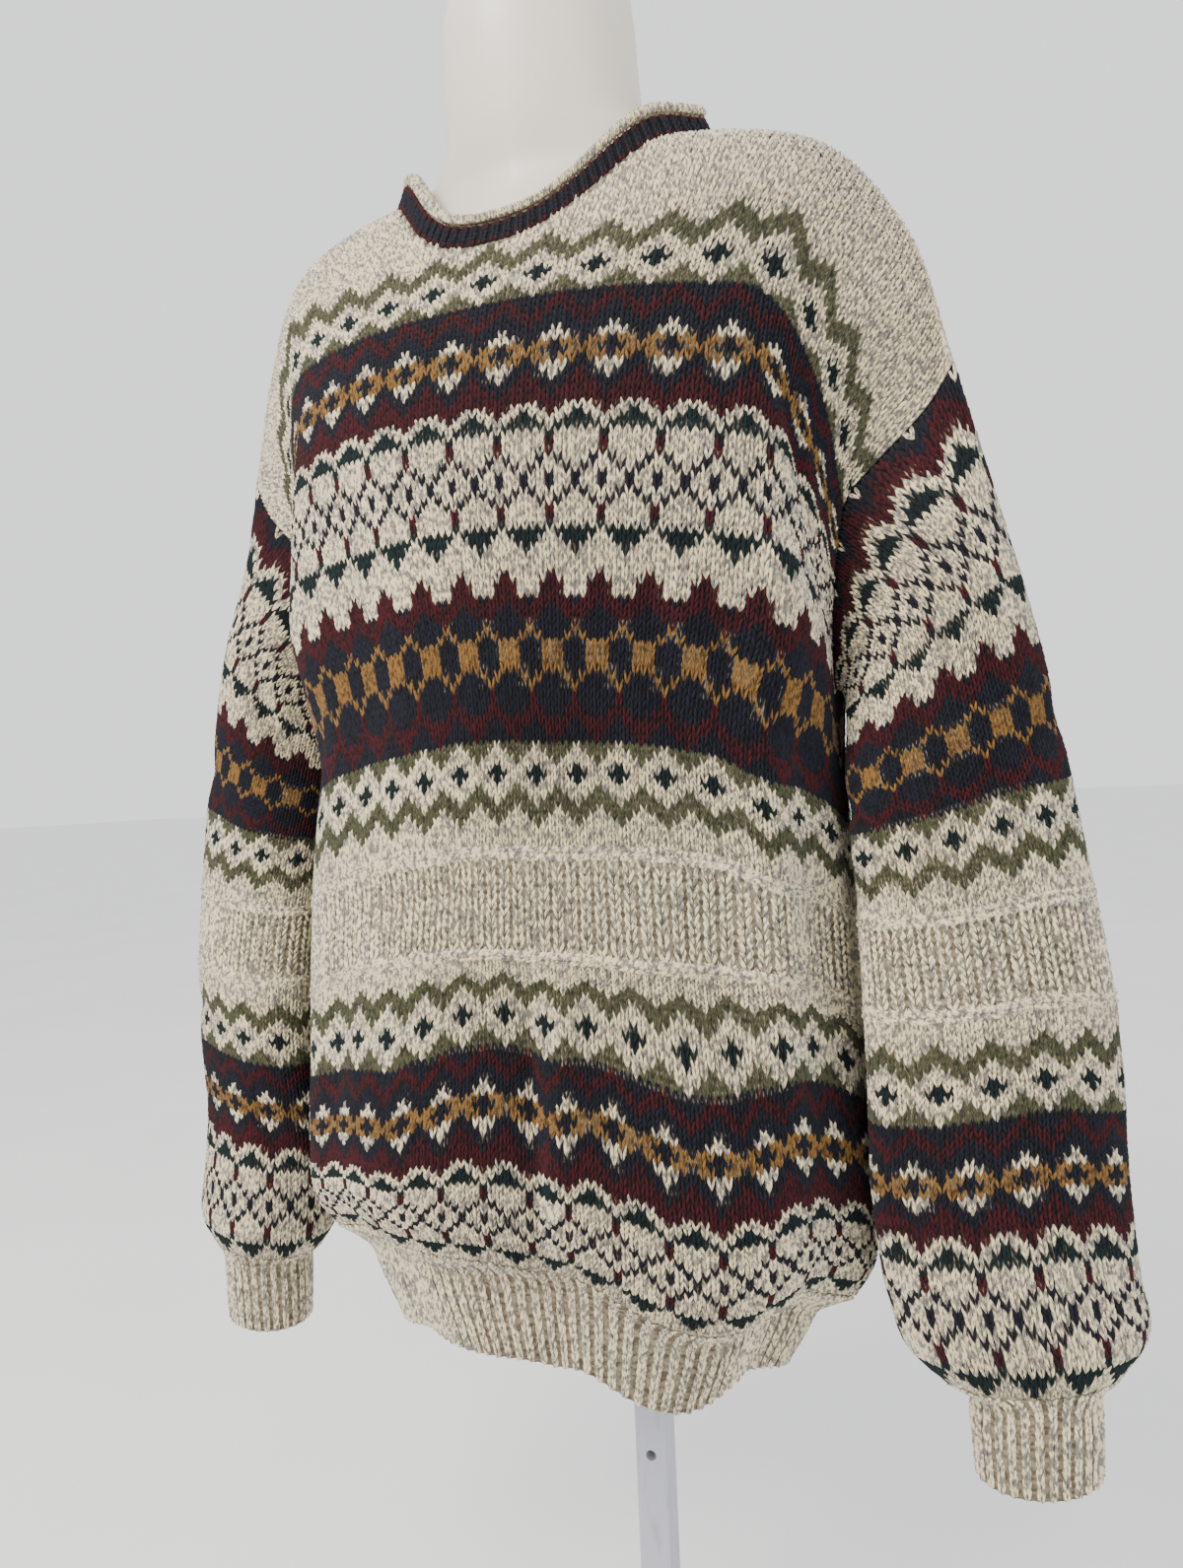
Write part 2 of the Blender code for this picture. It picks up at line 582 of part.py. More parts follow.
class Sweater:
    """The cloth: panels, sleeves, ribs, cuffs and neckband."""

    def __init__(self) -> None:
        self.front = Panel(FRONT_YOKE, -1, FRONT_FOLDS, FRONT_NECK_DROP)
        self.back = Panel(BACK_YOKE, 1, BACK_FOLDS, BACK_NECK_DROP)
        self.sleeves = {side: Sleeve(side, self.front, self.back) for side in (-1, 1)}
        self.lay_out()

    def lay_out(self) -> None:
        """Work out the outer grids and their outward directions, shared at seams."""
        middle = BODY_CENTRE + np.array([0.0, 0.0, 0.65])
        self.front_drop, front = panel_grid(self.front)[1:]
        self.back_drop, back = panel_grid(self.back)[1:]
        for column in (0, -1):
            seam = (front[YOKE_STEPS:, column] + back[YOKE_STEPS:, column]) / 2
            front[YOKE_STEPS:, column] = back[YOKE_STEPS:, column] = seam
        self.front_grid, self.back_grid = front, back
        self.front_normals = outward(front, grid_normals(front, False), middle)
        self.back_normals = outward(back, grid_normals(back, False), middle)
        self.sleeve_grids = {side: sleeve_grid(sleeve) for side, sleeve in self.sleeves.items()}
        self.sleeve_normals = {}
        for side, grid in self.sleeve_grids.items():
            centre = grid.mean(axis=1, keepdims=True)
            self.sleeve_normals[side] = outward(grid, grid_normals(grid, True), centre)
        self.share_normals()

    def share_normals(self) -> None:
        """Give both sides of each seam one direction, so that walls end face to face."""
        columns = self.front_grid.shape[1]
        neck = len(HALF_COLUMNS) - 1 - HALF_COLUMNS.index(NECK_SHARE)
        shoulder = list(range(neck + 1)) + list(range(columns - 1 - neck, columns))
        top = unit(self.front_normals[0, shoulder] + self.back_normals[0, shoulder])
        self.front_normals[0, shoulder] = top
        self.back_normals[0, shoulder] = top
        for side, column in ((-1, 0), (1, columns - 1)):
            rows = slice(YOKE_STEPS + 1, None)
            shared = unit(self.front_normals[rows, column] + self.back_normals[rows, column])
            self.front_normals[rows, column] = shared
            self.back_normals[rows, column] = shared
            ring = self.sleeve_normals[side][0]
            for step in range(YOKE_STEPS + 1):
                behind = -step % len(ring)
                front_normal = self.front_normals[step, column]
                back_normal = self.back_normals[step, column]
                if step in (0, YOKE_STEPS):
                    one = unit(front_normal + back_normal + ring[step] * 2)
                    self.front_normals[step, column] = one
                    self.back_normals[step, column] = one
                    ring[step] = one
                    continue
                self.front_normals[step, column] = unit(front_normal + ring[step])
                ring[step] = self.front_normals[step, column]
                self.back_normals[step, column] = unit(back_normal + ring[behind])
                ring[behind] = self.back_normals[step, column]

    def part_seams(self, grid: np.ndarray, facing: int) -> np.ndarray:
        """Move a panel's shoulder and side edges half a seam away from its neighbour."""
        moved = grid.copy()
        shift = np.array([0.0, facing * SEAM / 2, 0.0])
        neck = len(HALF_COLUMNS) - 1 - HALF_COLUMNS.index(NECK_SHARE)
        moved[0, :neck + 1] += shift
        moved[0, -neck - 1:] += shift
        moved[YOKE_STEPS:, 0] += shift
        moved[YOKE_STEPS:, -1] += shift
        return moved

    def panel(self, name: str, grid: np.ndarray, normals: np.ndarray, drop: np.ndarray, facing: int) -> tuple:
        """Build a panel, and give back its outer and inner grids."""
        outer = self.part_seams(grid, facing)
        inner = self.part_seams(grid - normals * WALL, facing)
        raised = outer.copy()
        for ridge in RIDGE_DROPS:
            chosen = np.isclose(drop, ridge)
            chosen[:, 0] = chosen[:, -1] = False
            raised[chosen] += normals[chosen] * RIDGE_RELIEF
        wall_object(name, raised, inner, False, "yoke_knit")
        return outer, inner

    def sleeve(self, name: str, side: int) -> tuple:
        """Build a sleeve, and give back its outer and inner grids."""
        grid, normals = self.sleeve_grids[side], self.sleeve_normals[side]
        inner = grid - normals * WALL
        outer = grid.copy()
        seam = self.armhole_seam(side, normals[0])
        outer[0] += seam
        inner[0] += seam
        for ridge in SLEEVE_RIDGE_SHARES:
            row = SLEEVE_ROWS.index(ridge)
            outer[row] += normals[row] * RIDGE_RELIEF
        wall_object(name, outer, inner, True, "yoke_knit")
        return outer, inner

    def armhole_seam(self, side: int, normals: np.ndarray) -> np.ndarray:
        """How a sleeve's first ring is moved off the panels' edges."""
        edge, beside = (-1, -2) if side > 0 else (0, 1)
        front = self.front_grid[:YOKE_STEPS + 1, edge] - self.front_grid[:YOKE_STEPS + 1, beside]
        back = self.back_grid[:YOKE_STEPS + 1, edge] - self.back_grid[:YOKE_STEPS + 1, beside]
        away = np.concatenate([unit(front), unit(back)[-2:0:-1]])
        away[0] = unit(front[0]) + unit(back[0])
        away[YOKE_STEPS] = (side, 0.0, 0.0)
        away -= normals * np.sum(away * normals, axis=1, keepdims=True)
        return unit(away) * SEAM

    def hem(self, name: str, panel: Panel, outer: np.ndarray, inner: np.ndarray) -> None:
        """The hem rib below a panel: its top follows the panel's own lower edge."""
        count = 2 * RIBS_PER_HEM_PANEL + 1
        across = np.linspace(-1, 1, count)
        half = np.array(HALF_COLUMNS)
        columns = np.concatenate([-half[:0:-1], half])
        lift = np.array([0.0, 0.0, -RIB_SEAM])
        top_out = np.stack([np.interp(across, columns, outer[-1, :, axis]) for axis in range(3)], -1) + lift
        top_in = np.stack([np.interp(across, columns, inner[-1, :, axis]) for axis in range(3)], -1) + lift
        levels = [
            self.hem_ring(panel, row, across, keep) for row, keep in zip((HEM_TURN, HEM_EDGE), HEM_FOLD_KEEP)
        ]
        grid = np.array([top_out] + levels)
        middle = grid.mean(axis=(0, 1)) * [1, 0, 1] + [0, BODY_Y, 0]
        normals = outward(grid, grid_normals(grid, False), middle)
        normals[:, 0] = unit(normals[:, 0] * [1, 0, 1])
        normals[:, -1] = unit(normals[:, -1] * [1, 0, 1])
        relief = np.where(np.arange(count) % 2 == 1, RIB_RELIEF, 0.0)[:, None]
        section = [
            top_out,
            levels[0] + normals[1] * relief,
            levels[1] + normals[2] * relief,
            levels[1] - normals[2] * WALL,
            levels[0] - normals[1] * WALL,
            top_in,
        ]
        section_object(name, np.stack(section, axis=1), False, "rib_knit")

    def hem_ring(self, panel: Panel, row: BodyRow, across: np.ndarray, keep: float) -> np.ndarray:
        """A level of the hem rib, with part of the panel's folds."""
        half = even_along(body_curve(row, panel.facing), panel.SAMPLES)
        place = np.abs(across) * (panel.SAMPLES - 1)
        knots = np.arange(panel.SAMPLES)
        points = np.stack([np.interp(place, knots, half[:, axis]) for axis in range(3)], -1)
        points[:, 0] *= np.sign(across)
        hung = points.copy()
        panel.hang(hung, across, np.full(len(across), RIB_DROP))
        points += (hung - points) * keep
        points[[0, -1], 1] += panel.facing * SEAM / 2
        return points + BODY_CENTRE

    def cuff(self, name: str, side: int, outer: np.ndarray, inner: np.ndarray) -> None:
        """A cuff below a sleeve: its top follows the sleeve's own lower edge."""
        count = 2 * RIBS_PER_CUFF
        share = np.arange(count) / count
        ends = np.concatenate([outer[-1], outer[-1][:1]]), np.concatenate([inner[-1], inner[-1][:1]])
        down = np.arange(YOKE_STEPS + 1) / (2 * YOKE_STEPS)
        around = np.concatenate([down, 1 - down[-2:0:-1], [1.0]])
        lift = np.array([0.0, 0.0, -RIB_SEAM])
        top_out, top_in = (
            np.stack([np.interp(share, around, end[:, axis]) for axis in range(3)], -1) + lift for end in ends
        )
        levels = [sleeve_ring(ring, side, count + 1)[:-1] for ring in (CUFF_TURN, CUFF_EDGE)]
        grid = np.array([top_out] + levels)
        centre = grid.mean(axis=1, keepdims=True)
        normals = outward(grid, grid_normals(grid, True), centre)
        relief = np.where(np.arange(count) % 2 == 1, RIB_RELIEF, 0.0)[:, None]
        section = [
            top_out,
            levels[0] + normals[1] * relief,
            levels[1] + normals[2] * relief,
            levels[1] - normals[2] * WALL,
            levels[0] - normals[1] * WALL,
            top_in,
        ]
        section_object(name, np.stack(section, axis=1), True, "rib_knit")

    def neck_loop(self, fronts: tuple, backs: tuple, count: int) -> tuple:
        """Neckline at even steps from the left shoulder round the front: outer and inner
        points, and the way off the panels' edges."""
        neck = len(HALF_COLUMNS) - 1 - HALF_COLUMNS.index(NECK_SHARE)
        loops = []
        for front, back in zip(fronts, backs):
            ahead = front[0, neck:len(front[0]) - neck][::-1]
            behind = back[0, neck:len(back[0]) - neck]
            loops.append(np.concatenate([ahead, behind, ahead[:1]]))
        steps = np.linalg.norm(np.diff(loops[0], axis=0), axis=1)
        length = np.concatenate([[0.0], np.cumsum(steps)])
        wanted = np.linspace(0, length[-1], count, endpoint=False)
        outer, inner = (
            np.stack([np.interp(wanted, length, loop[:, axis]) for axis in range(3)], -1) for loop in loops
        )
        tangent = np.roll(outer, -1, axis=0) - np.roll(outer, 1, axis=0)
        away = unit(np.cross(tangent, outer - inner))
        if away[:, 2].mean() < 0:
            away = -away
        return outer, inner, away

    def neckband(self, fronts: tuple, backs: tuple) -> None:
        """The ribbed neckband and the rolled edge above it."""
        for name, count, finish in (
            ("neckband", 2 * RIBS_ON_NECKBAND, "neck_knit"),
            ("neckband_roll", ROLL_COLUMNS, "yoke_knit"),
        ):
            outer, inner, away = self.neck_loop(fronts, backs, count)
            outer = outer + away * RIB_SEAM
            inner = inner + away * RIB_SEAM
            centre = np.array([BODY_X, outer[:, 1].mean(), 0.0])
            inward = unit((centre - outer) * [1, 1, 0])
            rise = unit(inward * BAND_LEAN + np.array([0.0, 0.0, 1.0]))
            out = unit(-inward + np.array([0.0, 0.0, BAND_LEAN]))
            if name == "neckband":
                relief = np.where(np.arange(count) % 2 == 1, RIB_RELIEF, 0.0)[:, None]
                section = [
                    outer,
                    outer + rise * BAND_LOW + out * relief,
                    outer + rise * BAND_HIGH + out * relief,
                    outer + rise * BAND_TOP - out * WALL,
                    inner,
                ]
            else:
                middle = outer + rise * (BAND_TOP + RIB_SEAM + ROLL_RADIUS) - out * (WALL / 2)
                section = []
                for side in range(ROLL_SIDES):
                    angle = 2 * math.pi * side / ROLL_SIDES
                    section.append(middle + (rise * math.sin(angle) + out * math.cos(angle)) * ROLL_RADIUS)
            section_object(name, np.stack(section, axis=1), True, finish)

    def build(self) -> None:
        """Make every piece of cloth."""
        fronts = self.panel("front_panel", self.front_grid, self.front_normals, self.front_drop, -1)
        backs = self.panel("back_panel", self.back_grid, self.back_normals, self.back_drop, 1)
        self.hem("hem_rib_front", self.front, *fronts)
        self.hem("hem_rib_back", self.back, *backs)
        for side, word in ((1, "left"), (-1, "right")):
            outer, inner = self.sleeve("sleeve_" + word, side)
            self.cuff("cuff_" + word, side, outer, inner)
        self.neckband(fronts, backs)


def dress_form() -> None:
    """The plastic torso: a loft of level rings, closed at both ends."""
    points = []
    for ring in FORM:
        for step in range(FORM_SIDES):
            angle = 2 * math.pi * step / FORM_SIDES
            across, ahead = math.sin(angle), -math.cos(angle)
            x = ring.half_width * math.copysign(abs(across) ** (2 / ring.square), across)
            depth = ring.front_out if ahead < 0 else ring.back_out
            y = depth * math.copysign(abs(ahead) ** (2 / ring.square), ahead)
            points.append((x + BODY_X, y + BODY_Y, ring.z))
    faces = []
    for level in range(len(FORM) - 1):
        for step in range(FORM_SIDES):
            after = (step + 1) % FORM_SIDES
            a, b = level * FORM_SIDES + step, level * FORM_SIDES + after
            faces.append((a, b, b + FORM_SIDES, a + FORM_SIDES))
    last = (len(FORM) - 1) * FORM_SIDES
    faces.append(tuple(range(FORM_SIDES))[::-1])
    faces.append(tuple(range(last, last + FORM_SIDES)))
    obj = mesh_object("dress_form", points, faces, "form_plastic")
    face_out(obj)


def move_to_parts(obj: bpy.types.Object, name: str, finish: str) -> None:
    """Name a primitive, put it with the parts and give it its finish."""
    obj.name = name
    obj.data.name = name
    for collection in list(obj.users_collection):
        collection.objects.unlink(obj)
    PARTS.objects.link(obj)
    finish_object(obj, finish)


def cutter(obj: bpy.types.Object, name: str) -> bpy.types.Object:
    """Keep a primitive as a hidden cutter."""
    obj.name = name
    for collection in list(obj.users_collection):
        collection.objects.unlink(obj)
    CUTTERS.objects.link(obj)
    obj.hide_render = True
    obj.display_type = "WIRE"
    return obj


def cut(obj: bpy.types.Object, tool: bpy.types.Object) -> None:
    """Cut one object from another."""
    modifier = obj.modifiers.new("cut_" + tool.name, "BOOLEAN")
    modifier.operation = "DIFFERENCE"
    modifier.solver = "EXACT"
    modifier.object = tool


def bar(side: float, low: float, high: float) -> bpy.types.Object:
    """A square bar on the pole's axis, turned as the pole stands."""
    bpy.ops.mesh.primitive_cube_add(size=1.0, location=(0.0, 0.0, (low + high) / 2))
    obj = bpy.context.object
    for vertex in obj.data.vertices:
        vertex.co.x *= side
        vertex.co.y *= side
        vertex.co.z *= high - low
    obj.rotation_euler[2] = POLE_TURN
    return obj


def stand() -> None:
    """Base plate, socket, square pole and the flange under the form."""
    bpy.ops.mesh.primitive_cylinder_add(
        vertices=48, radius=BASE_RADIUS, depth=BASE_THICK, location=(0.0, 0.0, BASE_THICK / 2)
    )
    base = bpy.context.object
    move_to_parts(base, "base_plate", "stand_steel")
    edge = base.modifiers.new("edge", "BEVEL")
    edge.width = BASE_EDGE
    edge.segments = 1
    edge.limit_method = "ANGLE"

    socket_low = BASE_THICK + FIT
    bpy.ops.mesh.primitive_cylinder_add(
        vertices=40, radius=SOCKET_RADIUS, depth=SOCKET_HEIGHT,
        location=(0.0, 0.0, socket_low + SOCKET_HEIGHT / 2),
    )
    socket = bpy.context.object
    move_to_parts(socket, "pole_socket", "stand_steel")
    well = bar(POLE_SIDE + 2 * FIT, socket_low - WELL_OVERRUN, socket_low + SOCKET_HEIGHT + WELL_OVERRUN)
    cut(socket, cutter(well, "socket_well"))

    form_low = FORM[0].z
    flange_low = form_low - FIT - FLANGE_THICK
    pole = bar(POLE_SIDE, socket_low, flange_low - FIT)
    move_to_parts(pole, "pole", "stand_steel")
    rounding = pole.modifiers.new("rounding", "BEVEL")
    rounding.width = POLE_EDGE
    rounding.segments = 2
    rounding.limit_method = "ANGLE"
    bpy.ops.mesh.primitive_cylinder_add(vertices=20, radius=POLE_HOLE / 2, depth=POLE_SIDE)
    drill = bpy.context.object
    drill.rotation_euler = (math.pi / 2, 0.0, POLE_TURN)
    reach = POLE_SIDE - POLE_HOLE_DEPTH
    drill.location = (math.sin(POLE_TURN) * reach, -math.cos(POLE_TURN) * reach, POLE_HOLE_Z)
    cut(pole, cutter(drill, "pole_hole_drill"))

    bpy.ops.mesh.primitive_cylinder_add(
        vertices=40, radius=FLANGE_RADIUS, depth=FLANGE_THICK,
        location=(0.0, 0.0, flange_low + FLANGE_THICK / 2),
    )
    move_to_parts(bpy.context.object, "form_flange", "stand_steel")


def main() -> None:
    """Clear the file and build the whole part."""
    for obj in list(bpy.data.objects):
        bpy.data.objects.remove(obj, do_unlink=True)
    for collection in (PARTS, CUTTERS):
        bpy.context.scene.collection.children.link(collection)
    stand()
    dress_form()
    Sweater().build()


main()
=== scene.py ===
"""Looks of a fair isle sweater on its limbless dress form and pole stand.

Metres, +Z up, origin under the base plate on the pole's axis. The sweater faces
-Y and the wearer's left is +X. The cloth follows the part's own section tables,
repeated here, and every knit stitch is a pair of small yarn lobes on that form.
"""

import logging
import math
from dataclasses import dataclass
from enum import Enum
from typing import NamedTuple

import bpy
import numpy as np
from mathutils import Matrix


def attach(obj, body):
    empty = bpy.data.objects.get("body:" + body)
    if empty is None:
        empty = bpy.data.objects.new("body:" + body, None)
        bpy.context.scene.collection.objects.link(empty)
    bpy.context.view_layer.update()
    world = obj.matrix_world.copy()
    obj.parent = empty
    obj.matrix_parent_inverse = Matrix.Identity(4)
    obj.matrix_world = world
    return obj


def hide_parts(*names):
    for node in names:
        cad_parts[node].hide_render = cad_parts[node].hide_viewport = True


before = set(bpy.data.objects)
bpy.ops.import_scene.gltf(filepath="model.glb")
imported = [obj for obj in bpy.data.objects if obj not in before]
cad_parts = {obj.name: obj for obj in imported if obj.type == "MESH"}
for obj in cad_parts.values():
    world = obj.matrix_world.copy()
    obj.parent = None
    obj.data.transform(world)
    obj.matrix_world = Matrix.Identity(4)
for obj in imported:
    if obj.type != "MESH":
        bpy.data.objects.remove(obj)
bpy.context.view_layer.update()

LOG = logging.getLogger("sweater")
BODY = "root"

# General sizes, as in the part's source
WALL = 0.003
RIB_SEAM = 0.0008
BODY_X = -0.012
BODY_Y = -0.055
BODY_CENTRE = np.array([BODY_X, BODY_Y, 0.0])
BODY_MIDDLE = BODY_CENTRE + [0.0, 0.0, 0.65]
ARMHOLE_DROP = 0.240
RIB_DROP = 0.573
NECK_SHARE = 1 / 3
FRONT_NECK_DROP = 0.058
BACK_NECK_DROP = 0.026
NECK_CURVE = 2.4
CHEST_ANGLE = math.radians(55)
DROOP = 2.5
SIDE_TILT = 0.05
RIGHT_SLEEVE_TUCK = 0.014
RIGHT_SLEEVE_RISE = 0.010
TUCK_TOP = 0.480
FORM_SIDES = 72
BAND_LEAN = 0.42
BAND_TOP = 0.0138
ROLL_RADIUS = 0.0034

# The neckband's sizes that only this scene has
BAND_FOOT = -0.0006
ROLL_TURN = (235, -55)      # degrees at which the roll starts and ends

# The shells' layers, from the cloth's face
SHELL_OUTER = -0.0006
SHELL_INNER = -0.0026
ROLL_INNER = -0.0020

# Stitch counts
PANEL_STITCHES = 108
SLEEVE_STITCHES = 72
HEM_STITCHES = 108
CUFF_STITCHES = 56
NECK_STITCHES = 160
ROLL_ROWS = 8
REPEAT = 6
STITCH = 0.00403            # width of one stitch

# Flat sizes of the sheets that aren't counted in stitches and rows
HEM_DRAWN_IN = 0.8          # width that is left of a hem rib's stitches
HEM_FLAT = (HEM_STITCHES * STITCH * HEM_DRAWN_IN, 0.062)
CUFF_FLAT = (0.20, 0.056)
NECK_LENGTH = 0.50
BAND_FLAT = (NECK_LENGTH, 0.016)


class YokeRow(NamedTuple):
    """One row of stitches above the armpit, from the middle to the armhole."""

    drop: float
    centre_z: float
    centre_out: float
    corner_x: float
    corner_out: float
    corner_z: float
    fold_x: float
    fold_out: float
    fold_z: float
    edge_x: float
    edge_out: float
    edge_z: float


class BodyRow(NamedTuple):
    """One ring of stitches below the armpit."""

    drop: float
    front_z: float
    back_z: float
    side_z: float
    half_width: float
    front_out: float
    back_out: float


class Fold(NamedTuple):
    """A soft ridge (out > 0) or trough (out < 0) that runs down a panel."""

    across: float
    spread: float
    top: float
    bottom: float
    out: float
    sink: float


class SleeveRing(NamedTuple):
    """One flattened ring of a sleeve."""

    x: float
    out: float
    z: float
    wide: float
    thick: float
    turn: float
    tilt: float


class FormRing(NamedTuple):
    """One level ring of the dress form."""

    z: float
    half_width: float
    front_out: float
    back_out: float
    square: float


class Crease(NamedTuple):
    """A crease: middle, direction, half length, half width, depth, bend."""

    across: float
    down: float
    turn: float
    length: float
    spread: float
    out: float
    bend: float


FRONT_YOKE = (
    YokeRow(0.000, 0.946, 0.000, 0.151, 0.000, 0.928, 0.198, -0.001, 0.872, 0.219, -0.002, 0.799),
    YokeRow(0.030, 0.930, 0.040, 0.151, 0.026, 0.913, 0.192, 0.014, 0.851, 0.205, 0.004, 0.776),
    YokeRow(0.060, 0.873, 0.079, 0.145, 0.048, 0.878, 0.175, 0.030, 0.825, 0.183, 0.009, 0.754),
    YokeRow(0.085, 0.848, 0.090, 0.138, 0.056, 0.846, 0.161, 0.037, 0.803, 0.167, 0.012, 0.737),
    YokeRow(0.120, 0.813, 0.100, 0.139, 0.060, 0.806, 0.154, 0.038, 0.767, 0.160, 0.010, 0.714),
    YokeRow(0.160, 0.773, 0.106, 0.141, 0.062, 0.764, 0.153, 0.036, 0.733, 0.156, 0.008, 0.691),
    YokeRow(0.200, 0.733, 0.109, 0.142, 0.064, 0.723, 0.153, 0.036, 0.699, 0.153, 0.004, 0.666),
    YokeRow(0.240, 0.693, 0.111, 0.143, 0.066, 0.681, 0.154, 0.034, 0.664, 0.152, 0.000, 0.640),
)

BACK_YOKE = (
    YokeRow(0.000, 0.946, 0.000, 0.151, 0.000, 0.928, 0.198, 0.001, 0.872, 0.219, 0.002, 0.799),
    YokeRow(0.030, 0.942, 0.071, 0.152, 0.026, 0.913, 0.192, 0.018, 0.851, 0.206, 0.010, 0.777),
    YokeRow(0.060, 0.914, 0.081, 0.147, 0.046, 0.884, 0.177, 0.034, 0.825, 0.187, 0.018, 0.755),
    YokeRow(0.085, 0.890, 0.088, 0.142, 0.055, 0.858, 0.166, 0.041, 0.805, 0.174, 0.022, 0.740),
    YokeRow(0.120, 0.855, 0.094, 0.141, 0.060, 0.822, 0.156, 0.042, 0.773, 0.165, 0.020, 0.717),
    YokeRow(0.160, 0.815, 0.098, 0.142, 0.062, 0.782, 0.154, 0.040, 0.739, 0.158, 0.016, 0.693),
    YokeRow(0.200, 0.774, 0.100, 0.143, 0.062, 0.742, 0.153, 0.038, 0.705, 0.154, 0.008, 0.667),
    YokeRow(0.240, 0.733, 0.100, 0.144, 0.062, 0.702, 0.154, 0.033, 0.670, 0.152, 0.000, 0.640),
)

BODY_ROWS = (
    BodyRow(0.300, 0.633, 0.667, 0.583, 0.155, 0.112, 0.100),
    BodyRow(0.360, 0.573, 0.607, 0.527, 0.158, 0.114, 0.101),
    BodyRow(0.420, 0.515, 0.548, 0.470, 0.160, 0.117, 0.103),
    BodyRow(0.480, 0.455, 0.488, 0.412, 0.162, 0.121, 0.107),
    BodyRow(0.525, 0.411, 0.441, 0.368, 0.163, 0.125, 0.111),
    BodyRow(0.555, 0.382, 0.411, 0.338, 0.160, 0.124, 0.110),
    BodyRow(0.573, 0.366, 0.393, 0.322, 0.150, 0.115, 0.101),
)
HEM_TURN = BodyRow(0.585, 0.353, 0.378, 0.312, 0.131, 0.100, 0.089)
HEM_EDGE = BodyRow(0.625, 0.304, 0.330, 0.280, 0.112, 0.086, 0.078)
HEM_FOLD_KEEP = (1.0, 0.8)

# A fold's reach over its spread, and the shares of its length in which it starts and ends
FOLD_SPREAD = 2.2
FOLD_START = 0.45
FOLD_END = 0.25
FRONT_FOLDS = (
    Fold(0.10, 0.055, 0.400, 0.573, -0.006, -0.004),
    Fold(0.46, 0.140, 0.400, 0.573, 0.008, -0.020),
    Fold(-0.22, 0.120, 0.420, 0.573, 0.004, -0.002),
    Fold(-0.62, 0.100, 0.300, 0.560, 0.005, -0.006),
    Fold(0.80, 0.060, 0.260, 0.560, -0.006, 0.000),
    Fold(-0.86, 0.050, 0.260, 0.560, -0.005, 0.000),
    Fold(0.66, 0.060, 0.170, 0.420, 0.004, -0.006),
    Fold(-0.36, 0.080, 0.150, 0.330, -0.003, 0.000),
    Fold(0.28, 0.090, 0.180, 0.380, -0.003, 0.000),
)

BACK_FOLDS = (
    Fold(0.00, 0.070, 0.220, 0.560, -0.005, 0.000),
    Fold(0.42, 0.110, 0.330, 0.573, 0.007, -0.012),
    Fold(-0.45, 0.120, 0.360, 0.573, 0.007, -0.010),
    Fold(0.74, 0.060, 0.200, 0.560, -0.006, 0.000),
    Fold(-0.76, 0.060, 0.220, 0.560, -0.006, 0.000),
)

SLEEVE = (
    SleeveRing(0.1990, 0.003, 0.674, 0.057, 0.029, 6.0, 45.0),
    SleeveRing(0.2080, -0.003, 0.615, 0.055, 0.032, 17.0, 26.0),
    SleeveRing(0.2170, -0.009, 0.545, 0.057, 0.032, 25.0, 14.0),
    SleeveRing(0.2250, -0.012, 0.460, 0.063, 0.032, 30.0, 8.0),
    SleeveRing(0.2260, -0.012, 0.385, 0.063, 0.034, 30.0, 5.0),
    SleeveRing(0.2300, -0.012, 0.343, 0.061, 0.038, 30.0, 3.0),
    SleeveRing(0.2350, -0.012, 0.319, 0.057, 0.037, 29.0, 2.0),
    SleeveRing(0.2360, -0.012, 0.306, 0.045, 0.031, 28.0, 2.0),
)
CUFF_TURN = SleeveRing(0.2375, -0.012, 0.296, 0.031, 0.026, 28.0, 2.0)
CUFF_EDGE = SleeveRing(0.2380, -0.012, 0.254, 0.029, 0.024, 26.0, 2.0)

FORM = (
    FormRing(0.400, 0.112, 0.070, 0.086, 2.1),
    FormRing(0.408, 0.124, 0.082, 0.093, 2.1),
    FormRing(0.440, 0.133, 0.092, 0.095, 2.1),
    FormRing(0.500, 0.135, 0.094, 0.083, 2.1),
    FormRing(0.560, 0.126, 0.091, 0.079, 2.1),
    FormRing(0.630, 0.132, 0.097, 0.084, 2.1),
    FormRing(0.700, 0.138, 0.102, 0.090, 2.1),
    FormRing(0.760, 0.138, 0.100, 0.091, 2.1),
    FormRing(0.810, 0.139, 0.094, 0.088, 2.1),
    FormRing(0.850, 0.143, 0.083, 0.081, 2.1),
    FormRing(0.880, 0.147, 0.068, 0.070, 2.0),
    FormRing(0.900, 0.151, 0.055, 0.058, 1.7),
    FormRing(0.912, 0.147, 0.048, 0.051, 1.45),
    FormRing(0.924, 0.129, 0.045, 0.046, 1.3),
    FormRing(0.934, 0.106, 0.045, 0.044, 1.3),
    FormRing(0.945, 0.078, 0.048, 0.044, 1.5),
    FormRing(0.959, 0.061, 0.052, 0.045, 1.8),
    FormRing(0.980, 0.057, 0.057, 0.047, 2.0),
    FormRing(1.000, 0.0555, 0.061, 0.046, 2.0),
    FormRing(1.022, 0.0548, 0.062, 0.044, 2.0),
    FormRing(1.036, 0.053, 0.056, 0.043, 2.0),
    FormRing(1.048, 0.050, 0.044, 0.042, 2.0),
    FormRing(1.060, 0.043, 0.028, 0.039, 2.0),
    FormRing(1.068, 0.033, 0.014, 0.033, 2.0),
    FormRing(1.072, 0.018, 0.004, 0.024, 2.0),
)
